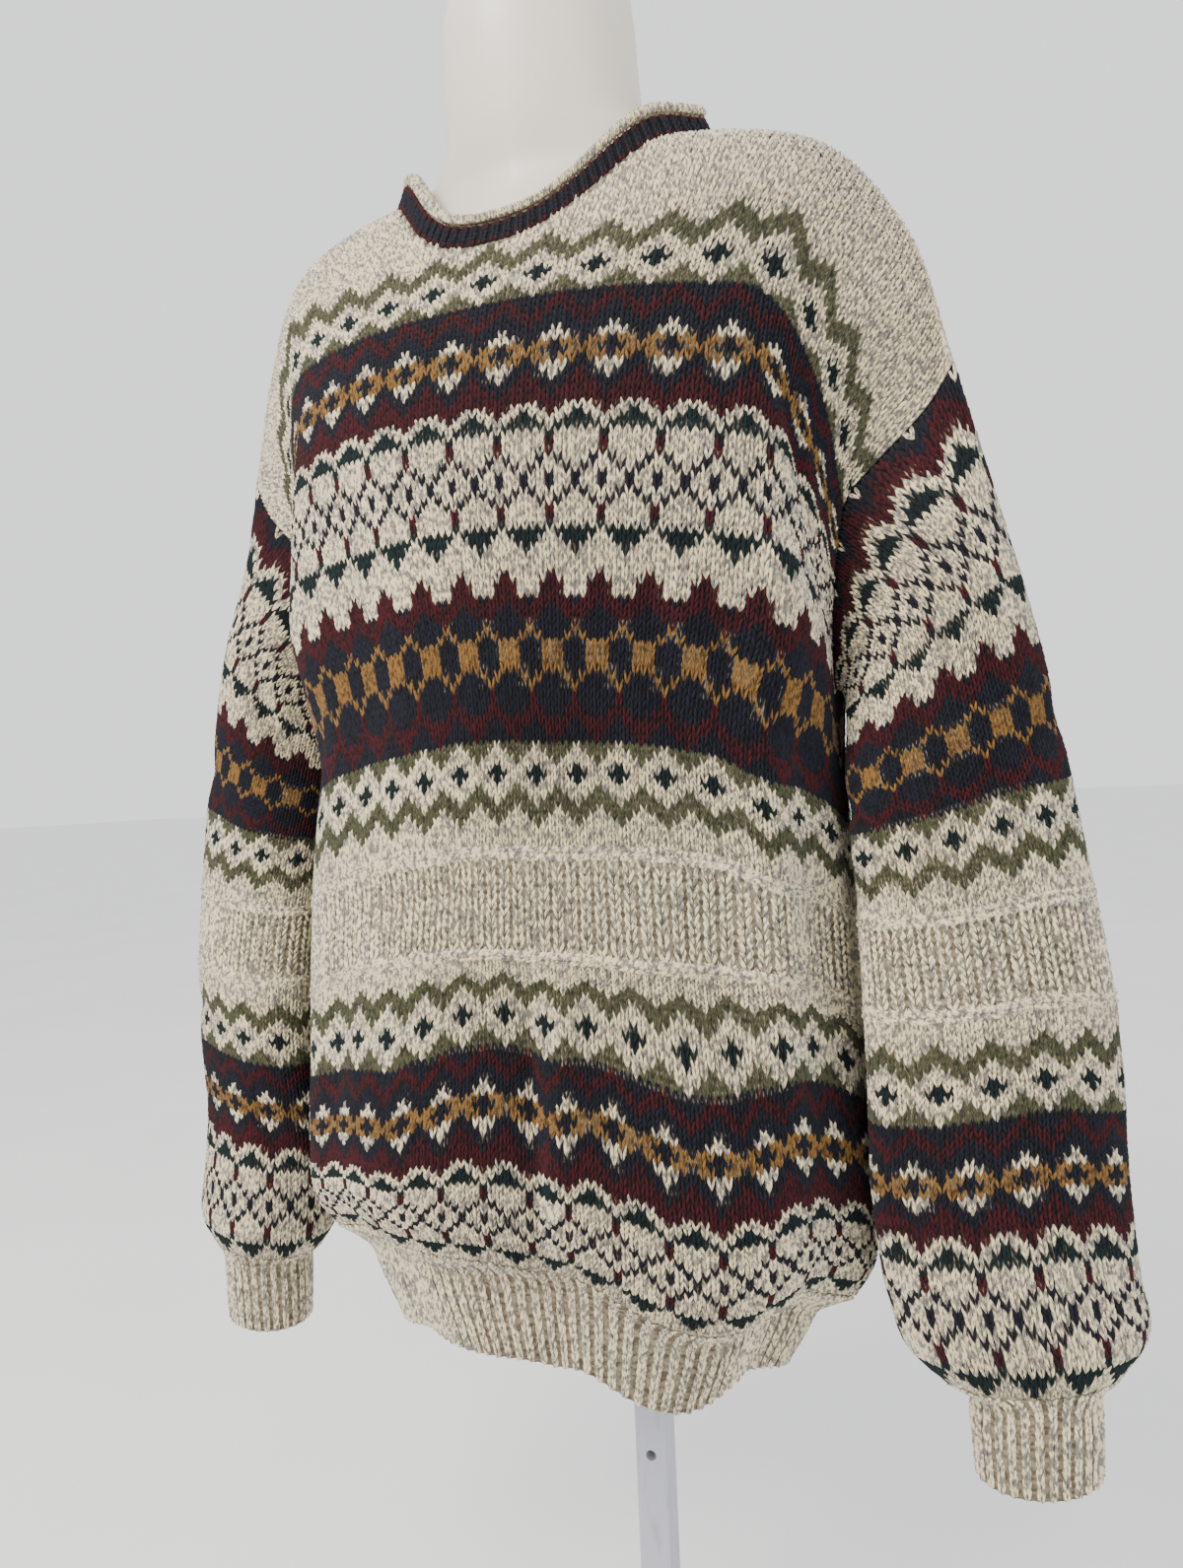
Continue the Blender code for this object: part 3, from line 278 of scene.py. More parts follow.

# Creases; across in half panels, the rest in metres and degrees
FRONT_CREASES = (
    Crease(0.70, 0.150, 28, 0.070, 0.012, -0.0035, 0.0),
    Crease(0.60, 0.205, 38, 0.055, 0.010, 0.0025, 2.0),
    Crease(-0.70, 0.165, -30, 0.060, 0.012, -0.0030, 0.0),
    Crease(-0.55, 0.235, -48, 0.050, 0.010, -0.0020, -2.0),
    Crease(0.72, 0.290, 62, 0.050, 0.011, -0.0030, 2.0),
    Crease(-0.78, 0.320, -60, 0.055, 0.010, -0.0028, -1.0),
    Crease(0.30, 0.330, 76, 0.060, 0.014, -0.0018, 1.5),
    Crease(-0.18, 0.395, -80, 0.075, 0.013, -0.0018, -1.0),
    Crease(0.58, 0.455, 20, 0.060, 0.012, -0.0030, 1.0),
    Crease(-0.46, 0.480, -14, 0.050, 0.012, -0.0026, 1.0),
    Crease(0.86, 0.400, 8, 0.070, 0.010, -0.0026, 0.0),
    Crease(0.11, 0.500, 2, 0.095, 0.006, -0.0042, 0.0),
    Crease(0.17, 0.490, -4, 0.070, 0.008, 0.0022, 0.0),
    Crease(0.42, 0.270, 14, 0.050, 0.008, -0.0034, 1.0),
    Crease(-0.90, 0.250, -10, 0.060, 0.008, -0.0030, 0.0),
)
BACK_CREASES = (
    Crease(0.66, 0.170, 34, 0.070, 0.013, -0.0035, 0.0),
    Crease(-0.68, 0.190, -30, 0.060, 0.012, -0.0032, 0.0),
    Crease(0.50, 0.270, 55, 0.060, 0.012, -0.0026, 2.0),
    Crease(-0.48, 0.300, -58, 0.055, 0.012, -0.0026, -2.0),
    Crease(0.05, 0.350, 82, 0.085, 0.014, -0.0022, 1.0),
    Crease(-0.72, 0.410, -15, 0.070, 0.011, -0.0030, 0.0),
    Crease(0.70, 0.430, 18, 0.060, 0.011, -0.0028, 0.0),
    Crease(0.22, 0.470, 12, 0.055, 0.012, -0.0026, 1.0),
    Crease(-0.24, 0.490, -10, 0.050, 0.012, -0.0024, 0.0),
)
# On a sleeve: across is the share round it, down the share of its length
SLEEVE_CREASES = (
    Crease(0.30, 0.16, 62, 0.045, 0.010, -0.0032, 2.0),
    Crease(0.12, 0.30, 74, 0.050, 0.011, -0.0026, -2.0),
    Crease(0.36, 0.40, 70, 0.045, 0.010, -0.0030, 1.5),
    Crease(0.62, 0.34, 68, 0.050, 0.011, -0.0028, -1.0),
    Crease(0.82, 0.52, 76, 0.045, 0.010, -0.0024, 1.0),
    Crease(0.20, 0.66, 80, 0.050, 0.012, -0.0024, 1.0),
    Crease(0.44, 0.84, 18, 0.036, 0.009, -0.0030, 0.0),
    Crease(0.92, 0.86, -12, 0.034, 0.009, -0.0026, 0.0),
    Crease(0.16, 0.88, 8, 0.032, 0.009, -0.0026, 0.0),
    Crease(0.70, 0.90, -8, 0.030, 0.008, -0.0024, 0.0),
)


class Yarn(Enum):
    """The yarns, by the letter that stands for each in the charts."""

    CREAM = "w"
    OLIVE = "G"
    TEAL = "T"
    NAVY = "N"
    BURGUNDY = "B"
    GOLD = "Y"


YARN_SLOTS = {yarn.value: place for place, yarn in enumerate(Yarn)}
DARK_YARNS = (Yarn.TEAL, Yarn.NAVY, Yarn.BURGUNDY)


class Knit(Enum):
    """How a row is knitted."""

    PLAIN = "plain"
    RIDGE = "ridge"
    OPEN = "open"


# Charted repeats, six stitches wide, one string a row from the top down
DIAMOND_CROSSES = (
    "wwwGww", "wwGGGw", "wGGGGG", "GGGwGG", "GGwwwG", "Gwwwww",
    "wwwTww", "wwTTTw", "wwwTww", "Gwwwww", "GGwwwG", "GGGwGG",
)
GOLD_RINGS = (
    "BNNNNN", "BBNNNB", "NBBNBB", "NNBBBN", "NNNBNN",
    "wNNNNN", "wwNNNw", "NYYNYY", "NNYYYN", "NYYNYY", "wwNNNw",
    "wNNBNN", "NNBBBN", "NBBBBB", "BBBBBB",
)
TRIANGLE_LATTICE = (
    "BBwwwB", "BwwTww", "wwTTTw", "wTTTTT", "Twwwww", "Bwwwww", "Bwwwww",
    "wNwwwN", "wwNwNw", "NwwNww", "NwwNww", "wwNwNw", "wNwwwN", "Bwwwww", "Bwwwww",
    "Twwwww", "wTTTTT", "wwTTTw", "wwwTww", "wwwwww", "wwwwww", "Bwwwww", "BBwwwB", "BBwwwB",
)
GOLD_BLOCKS = (
    "BBBNBB", "NBBBBB", "NNBBBN", "NNNBNN", "NNNYNN", "NNYNYN",
    "YYNNNY", "YYNNNY", "YYNNNY", "YYNNNY",
    "NNYNYN", "NNNYNN", "NNNBNN", "NNNBNN", "NNBBBN", "BBBNBB", "BBNNNB", "BNNNNN",
)
CREAM_ROW = ("wwwwww",)
LATTICE_ABOVE_RIB = 19      # rows of the lattice that are left above a rib


class Band(NamedTuple):
    """Some rows of one kind, with their chart."""

    chart: tuple
    knit: Knit


MIDDLE_BANDS = (
    Band(DIAMOND_CROSSES[::-1], Knit.PLAIN),
    Band(CREAM_ROW * 3, Knit.PLAIN),
    Band(CREAM_ROW * 2, Knit.RIDGE),
    Band(CREAM_ROW * 10, Knit.OPEN),
    Band(CREAM_ROW * 2, Knit.RIDGE),
    Band(CREAM_ROW * 3, Knit.PLAIN),
    Band(DIAMOND_CROSSES, Knit.PLAIN),
    Band(GOLD_RINGS, Knit.PLAIN),
    Band(TRIANGLE_LATTICE[:LATTICE_ABOVE_RIB], Knit.PLAIN),
)
SHOULDER_ROWS = 15
YOKE_BANDS = (
    Band(CREAM_ROW * SHOULDER_ROWS, Knit.PLAIN),
    Band(DIAMOND_CROSSES, Knit.PLAIN),
    Band(GOLD_RINGS, Knit.PLAIN),
    Band(TRIANGLE_LATTICE, Knit.PLAIN),
    Band(GOLD_BLOCKS, Knit.PLAIN),
)
BODY_BANDS = YOKE_BANDS + MIDDLE_BANDS + (Band(CREAM_ROW, Knit.PLAIN),)
SLEEVE_BANDS = (
    Band(GOLD_RINGS[-4:], Knit.PLAIN),
    Band(TRIANGLE_LATTICE, Knit.PLAIN),
    Band(GOLD_BLOCKS, Knit.PLAIN),
) + MIDDLE_BANDS

# Rows counted from the first charted row, and the cloth distance at which each starts
ROW_DROPS = (
    (-15, 0.000), (0, 0.060), (7.5, 0.083), (12, 0.0955), (20.5, 0.1255), (27, 0.152),
    (30, 0.1605), (37, 0.189), (44, 0.2155), (50.5, 0.243), (59, 0.272), (69, 0.315),
    (85, 0.368), (97, 0.4205), (100, 0.4275), (104, 0.436), (121.5, 0.498), (128, 0.523), (148, 0.573),
)
# Below the armpit the middle stitches are pulled together and swing to the wearer's left
GATHER = 0.17
SWING = 0.045
GATHER_TOP = 0.17
GATHER_LENGTH = 0.14
# How much lower (in millimetres) the front's rows hang at some shares across it, one line
# for each cloth distance down
ROW_SHARES = (
    -1.0, -0.8, -0.55, -0.32, -0.21, -0.10, 0.01, 0.06, 0.14, 0.28, 0.36, 0.45, 0.56, 0.68, 0.79, 1.0,
)
ROW_SAGS = (
    (0.160, (0, 0, 0, 0, 0, 0, 0, 0, 0, 0, 0, 0, 0, 0, 0, 0)),
    (0.230, (6, 6, 6, 5, 3, 1, 0, 0, 0, 0, 0, 0, 0, 0, 0, 0)),
    (0.300, (10, 10, 10, 7, 4, 1, 0, 0, 0, -1, -2, -2, -2, -1, 0, 0)),
    (0.368, (16, 18, 16, 9, 6, 2, 0, 0, 0, -2, -3, -4, -4, -3, -1, 0)),
    (0.418, (18, 19, 17, 9, 5, 2, 0, 0, 0, -1, -1, -2, -3, -7, -4, 0)),
    (0.446, (15, 19, 19, 13, 5, -2, -6, -5, -2, -6, -7, -6, -7, -10, -6, 0)),
    (0.498, (10, 17, 17, 11, 2, -6, -10, -9, -4, -12, -13, -12, -11, -8, -2, 0)),
    (0.540, (5, 9, 9, 6, 1, -3, -5, -4, -1, -6, -7, -6, -6, -4, -1, 0)),
    (0.573, (0, 0, 0, 0, 0, 0, 0, 0, 0, 0, 0, 0, 0, 0, 0, 0)),
)
# How much lower (as a share of its length) a sleeve's rows hang on its outer side, front,
# armpit side and back
SLEEVE_SAGS = (
    (0.00, (0.000, 0.000, 0.000, 0.000)), (0.20, (0.014, 0.000, -0.006, 0.000)),
    (0.46, (0.024, 0.008, -0.004, 0.008)), (0.58, (0.026, -0.002, -0.012, 0.004)),
    (0.70, (0.017, -0.020, -0.019, 0.000)), (0.80, (0.014, -0.022, -0.018, 0.000)),
    (0.92, (0.010, -0.020, -0.018, 0.000)), (1.00, (0.000, 0.000, 0.000, 0.000)),
)
# Rows of a sleeve, and the share of its length at which each starts
SLEEVE_SHARES = ((0, 0.0), (31, 0.240), (62, 0.460), (74, 0.580), (100, 0.795), (124, 1.0))

# Yarn lobes: (across, down, rise) of top, three points above, three below, and bottom,
# in stitches and rows from the stitch's middle, and millimetres from the cloth's face
LEG = (
    (-0.42, -0.90, -0.85),
    (-0.53, -0.40, -0.75), (-0.34, -0.44, 0.80), (-0.12, -0.28, -0.70),
    (-0.40, 0.26, -0.75), (-0.20, 0.34, 0.95), (0.00, 0.36, -0.65),
    (-0.06, 0.92, -0.10),
)
OPEN_LEG = (
    (-0.66, -0.86, -0.70),
    (-0.86, -0.34, -0.60), (-0.60, -0.38, 0.85), (-0.34, -0.26, -0.50),
    (-0.62, 0.28, -0.60), (-0.34, 0.34, 0.95), (-0.06, 0.34, -0.40),
    (-0.10, 0.88, -0.10),
)
RIB_LEG = (
    (-0.52, -0.90, -0.20),
    (-0.68, -0.36, -0.30), (-0.42, -0.40, 1.15), (-0.14, -0.26, 0.20),
    (-0.52, 0.28, -0.30), (-0.24, 0.34, 1.25), (0.02, 0.38, 0.20),
    (-0.06, 0.90, 0.40),
)
CORD = (
    (-0.86, 0.34, -0.40),
    (-0.40, -0.30, -0.20), (-0.34, 0.16, 1.60), (-0.28, 0.56, -0.20),
    (0.28, -0.56, -0.20), (0.34, -0.16, 1.60), (0.40, 0.30, -0.20),
    (0.86, -0.34, -0.40),
)
LOBE_FACES = ((0, 1, 2), (0, 2, 3), (1, 4, 5), (1, 5, 2), (2, 5, 6), (2, 6, 3), (4, 7, 5), (5, 7, 6))
MILLIMETRE = 0.001
# How far single lobes stray: in rows, in stitches, and in millimetres of rise and tilt
ROW_STRAY = 0.05
COLUMN_STRAY = 0.03
RISE_STRAY = 0.10
TILT_STRAY = 0.06


def hermite(knots: np.ndarray, values: np.ndarray, at: np.ndarray) -> np.ndarray:
    """Read a smooth curve through values at knots.

    Args:
        knots: increasing places.
        values: what is known there, on axis 0.
        at: the places to read.

    Returns:
        One value for each place in at.
    """
    knots = np.asarray(knots, float)
    values = np.asarray(values, float)
    shape = (-1,) + (1,) * (values.ndim - 1)
    gaps = np.diff(knots)
    slopes = np.diff(values, axis=0) / gaps.reshape(shape)
    before, after = gaps[:-1].reshape(shape), gaps[1:].reshape(shape)
    inner = (slopes[:-1] * after + slopes[1:] * before) / (before + after)
    tangents = np.concatenate([slopes[:1], inner, slopes[-1:]])
    at = np.clip(np.asarray(at, float), knots[0], knots[-1])
    k = np.clip(np.searchsorted(knots, at, side="right") - 1, 0, len(gaps) - 1)
    f = ((at - knots[k]) / gaps[k]).reshape(shape)
    gap = gaps[k].reshape(shape)
    return (
        values[k] * (2 * f**3 - 3 * f**2 + 1)
        + tangents[k] * gap * (f**3 - 2 * f**2 + f)
        + values[k + 1] * (3 * f**2 - 2 * f**3)
        + tangents[k + 1] * gap * (f**3 - f**2)
    )


def running_length(points: np.ndarray) -> np.ndarray:
    """Length along a line of points up to each one."""
    return np.concatenate([[0.0], np.cumsum(np.linalg.norm(np.diff(points, axis=0), axis=1))])


def read_line(at: np.ndarray, knots: np.ndarray, points: np.ndarray) -> np.ndarray:
    """Read a line of points at some places along its knots."""
    return np.stack([np.interp(at, knots, points[:, axis]) for axis in range(3)], -1)


def even_steps(points: np.ndarray, count: int, closed: bool = False) -> np.ndarray:
    """Read a line of points at count even steps of length, without its end where it closes."""
    length = running_length(points)
    return read_line(np.linspace(0, length[-1], count, endpoint=not closed), length, points)


def even_along(points: np.ndarray, count: int) -> np.ndarray:
    """Smooth a curve through points and read it at count even steps of length."""
    knots = running_length(points)
    return even_steps(hermite(knots, points, np.linspace(0, knots[-1], 8 * count)), count)


def read_columns(knots: np.ndarray, table: np.ndarray, place: np.ndarray, at: np.ndarray) -> np.ndarray:
    """Read a table of curves, blending the two columns beside each place.

    Args:
        knots: where the table's rows lie.
        table: points by row and column.
        place: places counted in columns.
        at: places along the knots.

    Returns:
        One point for each place.
    """
    low = np.clip(place.astype(int), 0, table.shape[1] - 2)
    mix = (place - low)[:, None]
    result = np.empty((place.size, 3))
    for column in np.unique(low):
        chosen = low == column
        read = hermite(knots, table[:, column:column + 2], at[chosen])
        result[chosen] = read[:, 0] * (1 - mix[chosen]) + read[:, 1] * mix[chosen]
    return result


def ease(share: np.ndarray) -> np.ndarray:
    """Turn an even share from 0 to 1 into one that starts and ends softly."""
    return share * share * (3 - 2 * share)


def yoke_curve(row: YokeRow, facing: int) -> np.ndarray:
    """Control points of a half row above the armpit; facing is -1 in front, 1 behind."""
    points = []
    for share in (0.0, 0.25, 0.5, 0.75, 1.0):
        angle = share * CHEST_ANGLE
        bend = (1 - math.cos(angle)) / (1 - math.cos(CHEST_ANGLE))
        out = row.centre_out + (row.corner_out - row.centre_out) * bend
        x = row.corner_x * math.sin(angle) / math.sin(CHEST_ANGLE)
        z = row.centre_z + (row.corner_z - row.centre_z) * share**DROOP
        points.append((x, facing * out, z))
    points.append((row.fold_x, facing * row.fold_out, row.fold_z))
    points.append((row.edge_x, facing * row.edge_out, row.edge_z))
    return np.array(points)


def body_curve(row: BodyRow, facing: int) -> np.ndarray:
    """Control points of a half row below the armpit, a quarter of an ellipse."""
    depth = row.front_out if facing < 0 else row.back_out
    centre_z = row.front_z if facing < 0 else row.back_z
    points = []
    for share in np.linspace(0.0, 1.0, 9):
        angle = share * math.pi / 2
        z = centre_z + (row.side_z - centre_z) * share**DROOP
        points.append((row.half_width * math.sin(angle), facing * depth * math.cos(angle), z))
    return np.array(points)


def bump(place: np.ndarray) -> np.ndarray:
    """A soft bell, 1 in the middle and 0 from 1 outward."""
    inside = np.clip(1 - np.asarray(place) ** 2, 0, 1)
    return inside**2


def fold_reach(fold: Fold, u: np.ndarray, drop: np.ndarray) -> np.ndarray:
    """How strongly a fold acts at each place of a panel."""
    across = bump((u - fold.across) / (FOLD_SPREAD * fold.spread))
    length = fold.bottom - fold.top
    down = np.clip((drop - fold.top) / (FOLD_START * length), 0, 1)
    end = np.clip((fold.bottom + FOLD_END * length - drop) / (FOLD_END * length), 0, 1)
    return across * ease(down) * end


def crease_depth(creases: tuple, x: np.ndarray, y: np.ndarray, width: float, length: float) -> np.ndarray:
    """Total depth of the creases.

    Args:
        creases: the table.
        x: place across, in the table's unit.
        y: place down, in the table's unit.
        width: metres in one unit across.
        length: metres in one unit down.

    Returns:
        Metres out of the cloth at each place.
    """
    total = np.zeros(np.shape(x))
    for crease in creases:
        across = (x - crease.across) * width
        down = (y - crease.down) * length
        turn = math.radians(crease.turn)
        along = down * math.cos(turn) + across * math.sin(turn)
        beside = across * math.cos(turn) - down * math.sin(turn)
        beside = beside - crease.bend * along**2
        total += crease.out * np.exp(-((beside / crease.spread) ** 2)) * bump(along / (1.6 * crease.length))
    return total


def unit(vectors: np.ndarray) -> np.ndarray:
    """Vectors scaled to length 1."""
    return vectors / np.maximum(np.linalg.norm(vectors, axis=-1, keepdims=True), 1e-12)


def grid_normals(grid: np.ndarray, wrap: bool, centre: np.ndarray) -> np.ndarray:
    """Outward directions at a grid's points.

    Args:
        grid: points by row and column.
        wrap: whether the columns close into a ring.
        centre: a point or points inside the cloth.

    Returns:
        Unit vectors that point away from the centre.
    """
    if wrap:
        across = np.roll(grid, -1, axis=1) - np.roll(grid, 1, axis=1)
    else:
        across = np.gradient(grid, axis=1)
    normals = unit(np.cross(np.gradient(grid, axis=0), across))
    if np.sum((grid - centre) * normals) < 0:
        return -normals
    return normals


class Panel:
    """A front or back panel as a surface, read at any stitch and row."""

    SAMPLES = 72

    def __init__(self, yoke: tuple, facing: int, folds: tuple, neck_drop: float, creases: tuple) -> None:
        """Work out the half rows that the surface runs through."""
        curves = [even_along(yoke_curve(row, facing), self.SAMPLES) for row in yoke]
        curves += [even_along(body_curve(row, facing), self.SAMPLES) for row in BODY_ROWS]
        self.half = np.array(curves)
        self.drops = np.array([row.drop for row in yoke] + [row.drop for row in BODY_ROWS])
        self.facing = facing
        self.folds = folds
        self.neck_drop = neck_drop
        self.creases = creases

    def neckline(self, u: np.ndarray) -> np.ndarray:
        """The drop at which each column starts: the neckline, or the shoulder line."""
        share = np.clip(np.abs(u) / NECK_SHARE, 0, 1)
        return self.neck_drop * (1 - share**NECK_CURVE)

    def points(self, u: np.ndarray, drop: np.ndarray) -> np.ndarray:
        """Outer points of the panel for matching arrays of u (-1 to 1) and drop."""
        u, drop = np.broadcast_arrays(np.asarray(u, float), np.asarray(drop, float))
        flat_u, flat_drop = u.ravel(), drop.ravel()
        result = read_columns(self.drops, self.half, np.abs(flat_u) * (self.SAMPLES - 1), flat_drop)
        result[:, 0] *= np.sign(flat_u) + (flat_u == 0)
        self.hang(result, flat_u, flat_drop)
        outward = unit(result * [1, 1, 0])
        depth = crease_depth(self.creases, flat_u, flat_drop, PANEL_STITCHES * STITCH / 2, 1.0)
        result += outward * (depth * (1 - flat_u**8))[:, None]
        result += BODY_CENTRE
        return result.reshape(u.shape + (3,))

    def hang(self, result: np.ndarray, u: np.ndarray, drop: np.ndarray) -> None:
        """Tilt the rows a little and add the folds, none at the seams."""
        fade = np.clip((drop - 0.05) / 0.15, 0, 1) * (1 - u**4)
        result[:, 2] -= SIDE_TILT * result[:, 0] * fade
        outward = unit(result * [1, 1, 0])
        for fold in self.folds:
            reach = fold_reach(fold, u, drop)[:, None] * (1 - u**8)[:, None]
            result += outward * reach * fold.out
            result[:, 2:] += reach * fold.sink


def sleeve_ring(ring: SleeveRing, side: int, count: int) -> np.ndarray:
    """Points round a flattened ring, from its outer end round its front."""
    turn, tilt = math.radians(ring.turn), math.radians(ring.tilt)
    wide = np.array([math.cos(turn) * math.cos(tilt), math.sin(turn) * math.cos(tilt), math.sin(tilt)])
    front = np.array([math.sin(turn), -math.cos(turn), 0.0])
    centre = np.array([ring.x, ring.out, ring.z])
    angles = np.linspace(0, 2 * math.pi, 361)[:, None]
    dense = centre + wide * ring.wide * np.cos(angles) + front * ring.thick * np.sin(angles)
    points = even_steps(dense, count)
    points[:, 0] *= side
    if side < 0:
        swing = np.clip((TUCK_TOP - ring.z) / (TUCK_TOP - CUFF_TURN.z), 0, 1)
        points[:, 0] += RIGHT_SLEEVE_TUCK * swing
        points[:, 2] += RIGHT_SLEEVE_RISE * swing
    return points + BODY_CENTRE


class Sleeve:
    """A sleeve as a surface from the armhole to the cuff."""

    SAMPLES = 121
    LENGTH = 0.43               # about its middle line's, in metres
    GIRTH = 0.30                # about its ring's, in metres

    def __init__(self, side: int, front: Panel, back: Panel) -> None:
        """Work out the rings that the surface runs through."""
        share = np.linspace(0, 1, self.SAMPLES)
        drop = np.where(share <= 0.5, share, 1 - share) * 2 * ARMHOLE_DROP
        edge = np.full_like(share, float(side))
        loop = np.where((share <= 0.5)[:, None], front.points(edge, drop), back.points(edge, drop))
        self.rings = np.array([loop] + [sleeve_ring(ring, side, self.SAMPLES) for ring in SLEEVE])
        self.knots = running_length(self.rings.mean(axis=1))
        self.knots /= self.knots[-1]

    def points(self, around: np.ndarray, along: np.ndarray) -> np.ndarray:
        """Outer points for matching arrays of around (0 to 1) and along (0 to 1)."""
        around, along = np.broadcast_arrays(np.asarray(around, float), np.asarray(along, float))
        place = np.mod(around.ravel(), 1.0) * (self.SAMPLES - 1)
        return read_columns(self.knots, self.rings, place, along.ravel()).reshape(around.shape + (3,))


def linear(colour: tuple) -> tuple:
    """Turn an 0 to 255 screen colour into the linear values that shaders take."""
    shares = [value / 255 for value in colour]
    return tuple(s / 12.92 if s <= 0.04045 else ((s + 0.055) / 1.055) ** 2.4 for s in shares) + (1.0,)


class NodeSketch:
    """A small helper that lays shader nodes and joins them."""

    def __init__(self, name: str) -> None:
        """Start a material with one Principled shader."""
        self.material = bpy.data.materials.new(name)
        self.material.use_nodes = True
        self.tree = self.material.node_tree
        self.shader = self.tree.nodes["Principled BSDF"]
        self.place = self.tree.nodes.new("ShaderNodeTexCoord").outputs["Object"]

    def noise(self, scale: float, detail: float, squash: tuple = (1.0, 1.0, 1.0)) -> bpy.types.NodeSocket:
        """Noise over the object's own metres.

        Args:
            scale: features in a metre.
            detail: octaves.
            squash: stretch of each axis.

        Returns:
            The noise's factor.
        """
        mapping = self.tree.nodes.new("ShaderNodeMapping")
        mapping.inputs["Scale"].default_value = squash
        self.tree.links.new(self.place, mapping.inputs["Vector"])
        node = self.tree.nodes.new("ShaderNodeTexNoise")
        node.inputs["Scale"].default_value = scale
        node.inputs["Detail"].default_value = detail
        self.tree.links.new(mapping.outputs["Vector"], node.inputs["Vector"])
        return node.outputs["Fac"]

    def ramp(self, factor: bpy.types.NodeSocket, stops: tuple) -> bpy.types.NodeSocket:
        """A colour ramp over factor through (place, colour) stops."""
        node = self.tree.nodes.new("ShaderNodeValToRGB")
        ramp = node.color_ramp
        while len(ramp.elements) < len(stops):
            ramp.elements.new(0.5)
        for element, (place, colour) in zip(ramp.elements, stops):
            element.position = place
            element.color = colour
        self.tree.links.new(factor, node.inputs["Fac"])
        return node.outputs["Color"]

    def multiply(self, first: bpy.types.NodeSocket, second: bpy.types.NodeSocket) -> bpy.types.NodeSocket:
        """Multiply two colours."""
        node = self.tree.nodes.new("ShaderNodeMix")
        node.data_type = "RGBA"
        node.blend_type = "MULTIPLY"
        node.inputs["Factor"].default_value = 1.0
        for name, colour in (("A", first), ("B", second)):
            self.tree.links.new(colour, next(s for s in node.inputs if s.name == name and s.type == "RGBA"))
        return next(s for s in node.outputs if s.type == "RGBA")

    def relief(self, height: bpy.types.NodeSocket, strength: float, distance: float) -> None:
        """Bump the shader's normal."""
        node = self.tree.nodes.new("ShaderNodeBump")
        node.inputs["Strength"].default_value = strength
        node.inputs["Distance"].default_value = distance
        self.tree.links.new(height, node.inputs["Height"])
        self.tree.links.new(node.outputs["Normal"], self.shader.inputs["Normal"])

    def colour(self, socket: bpy.types.NodeSocket) -> None:
        """Give the shader its colour."""
        self.tree.links.new(socket, self.shader.inputs["Base Color"])

    def roughness(self, factor: bpy.types.NodeSocket, low: float, high: float) -> None:
        """Let the roughness vary between low and high."""
        node = self.tree.nodes.new("ShaderNodeMapRange")
        node.inputs["To Min"].default_value = low
        node.inputs["To Max"].default_value = high
        self.tree.links.new(factor, node.inputs["Value"])
        self.tree.links.new(node.outputs["Result"], self.shader.inputs["Roughness"])


@dataclass(frozen=True)
class YarnFinish:
    """A spun wool yarn: its colour, the flecks spun into it and how deep its shade goes."""

    name: str
    base: tuple
    fleck: tuple
    shade: tuple
    flecked: float              # noise level under which flecks show
    fuzz: float = 0.25

    def material(self) -> bpy.types.Material:
        """Build the yarn's material."""
        sketch = NodeSketch(self.name)
        fibres = sketch.noise(520.0, 3.0, (1.0, 1.0, 0.55))
        stops = (
            (self.flecked - 0.06, linear(self.shade)),
            (self.flecked + 0.03, linear(self.fleck)),
            (self.flecked + 0.10, linear(self.base)),
            (0.78, linear(tuple(min(255, value * 1.06) for value in self.base))),
        )
        yarn = sketch.ramp(fibres, stops)
        tones = ((0.32, (0.86, 0.86, 0.87, 1.0)), (0.68, (1.0, 1.0, 1.0, 1.0)))
        drift = sketch.ramp(sketch.noise(26.0, 2.0), tones)
        sketch.colour(sketch.multiply(yarn, drift))
        sketch.roughness(fibres, 0.82, 1.0)
        sketch.relief(sketch.noise(2100.0, 3.0), 0.5, 0.0003)
        sketch.shader.inputs["Sheen Weight"].default_value = self.fuzz
        sketch.shader.inputs["Sheen Roughness"].default_value = 0.6
        sketch.shader.inputs["Specular IOR Level"].default_value = 0.25
        return sketch.material


YARN_FINISHES = {
    Yarn.CREAM: YarnFinish("yarn_cream_ragg", (220, 206, 168), (150, 142, 124), (108, 104, 98), 0.44),
    Yarn.OLIVE: YarnFinish("yarn_olive", (72, 73, 49), (55, 56, 37), (35, 36, 24), 0.42, 0.08),
    Yarn.TEAL: YarnFinish("yarn_dark_teal", (15, 31, 32), (9, 20, 21), (5, 11, 12), 0.42, 0.02),
    Yarn.NAVY: YarnFinish("yarn_navy", (22, 23, 34), (14, 15, 23), (8, 8, 13), 0.42, 0.02),
    Yarn.BURGUNDY: YarnFinish("yarn_burgundy", (60, 14, 20), (41, 9, 13), (23, 5, 8), 0.42, 0.02),
    Yarn.GOLD: YarnFinish("yarn_gold", (124, 89, 41), (98, 69, 29), (66, 46, 19), 0.42, 0.08),
}


@dataclass(frozen=True)
class ShadeFinish:
    """The cloth behind the stitches: floats and loops in painted shadow, darker than their yarn, with purl
    bumps.
    """

    name: str
    low: tuple
    high: tuple
    bumps: float = 260.0

    def material(self) -> bpy.types.Material:
        """Build the material of the cloth's back."""
        sketch = NodeSketch(self.name)
        loops = sketch.noise(self.bumps, 2.0, (1.0, 1.0, 1.6))
        sketch.colour(sketch.ramp(loops, ((0.38, linear(self.low)), (0.62, linear(self.high)))))
        sketch.roughness(loops, 0.86, 1.0)
        sketch.relief(loops, 0.7, 0.0008)
        sketch.shader.inputs["Specular IOR Level"].default_value = 0.2
        return sketch.material
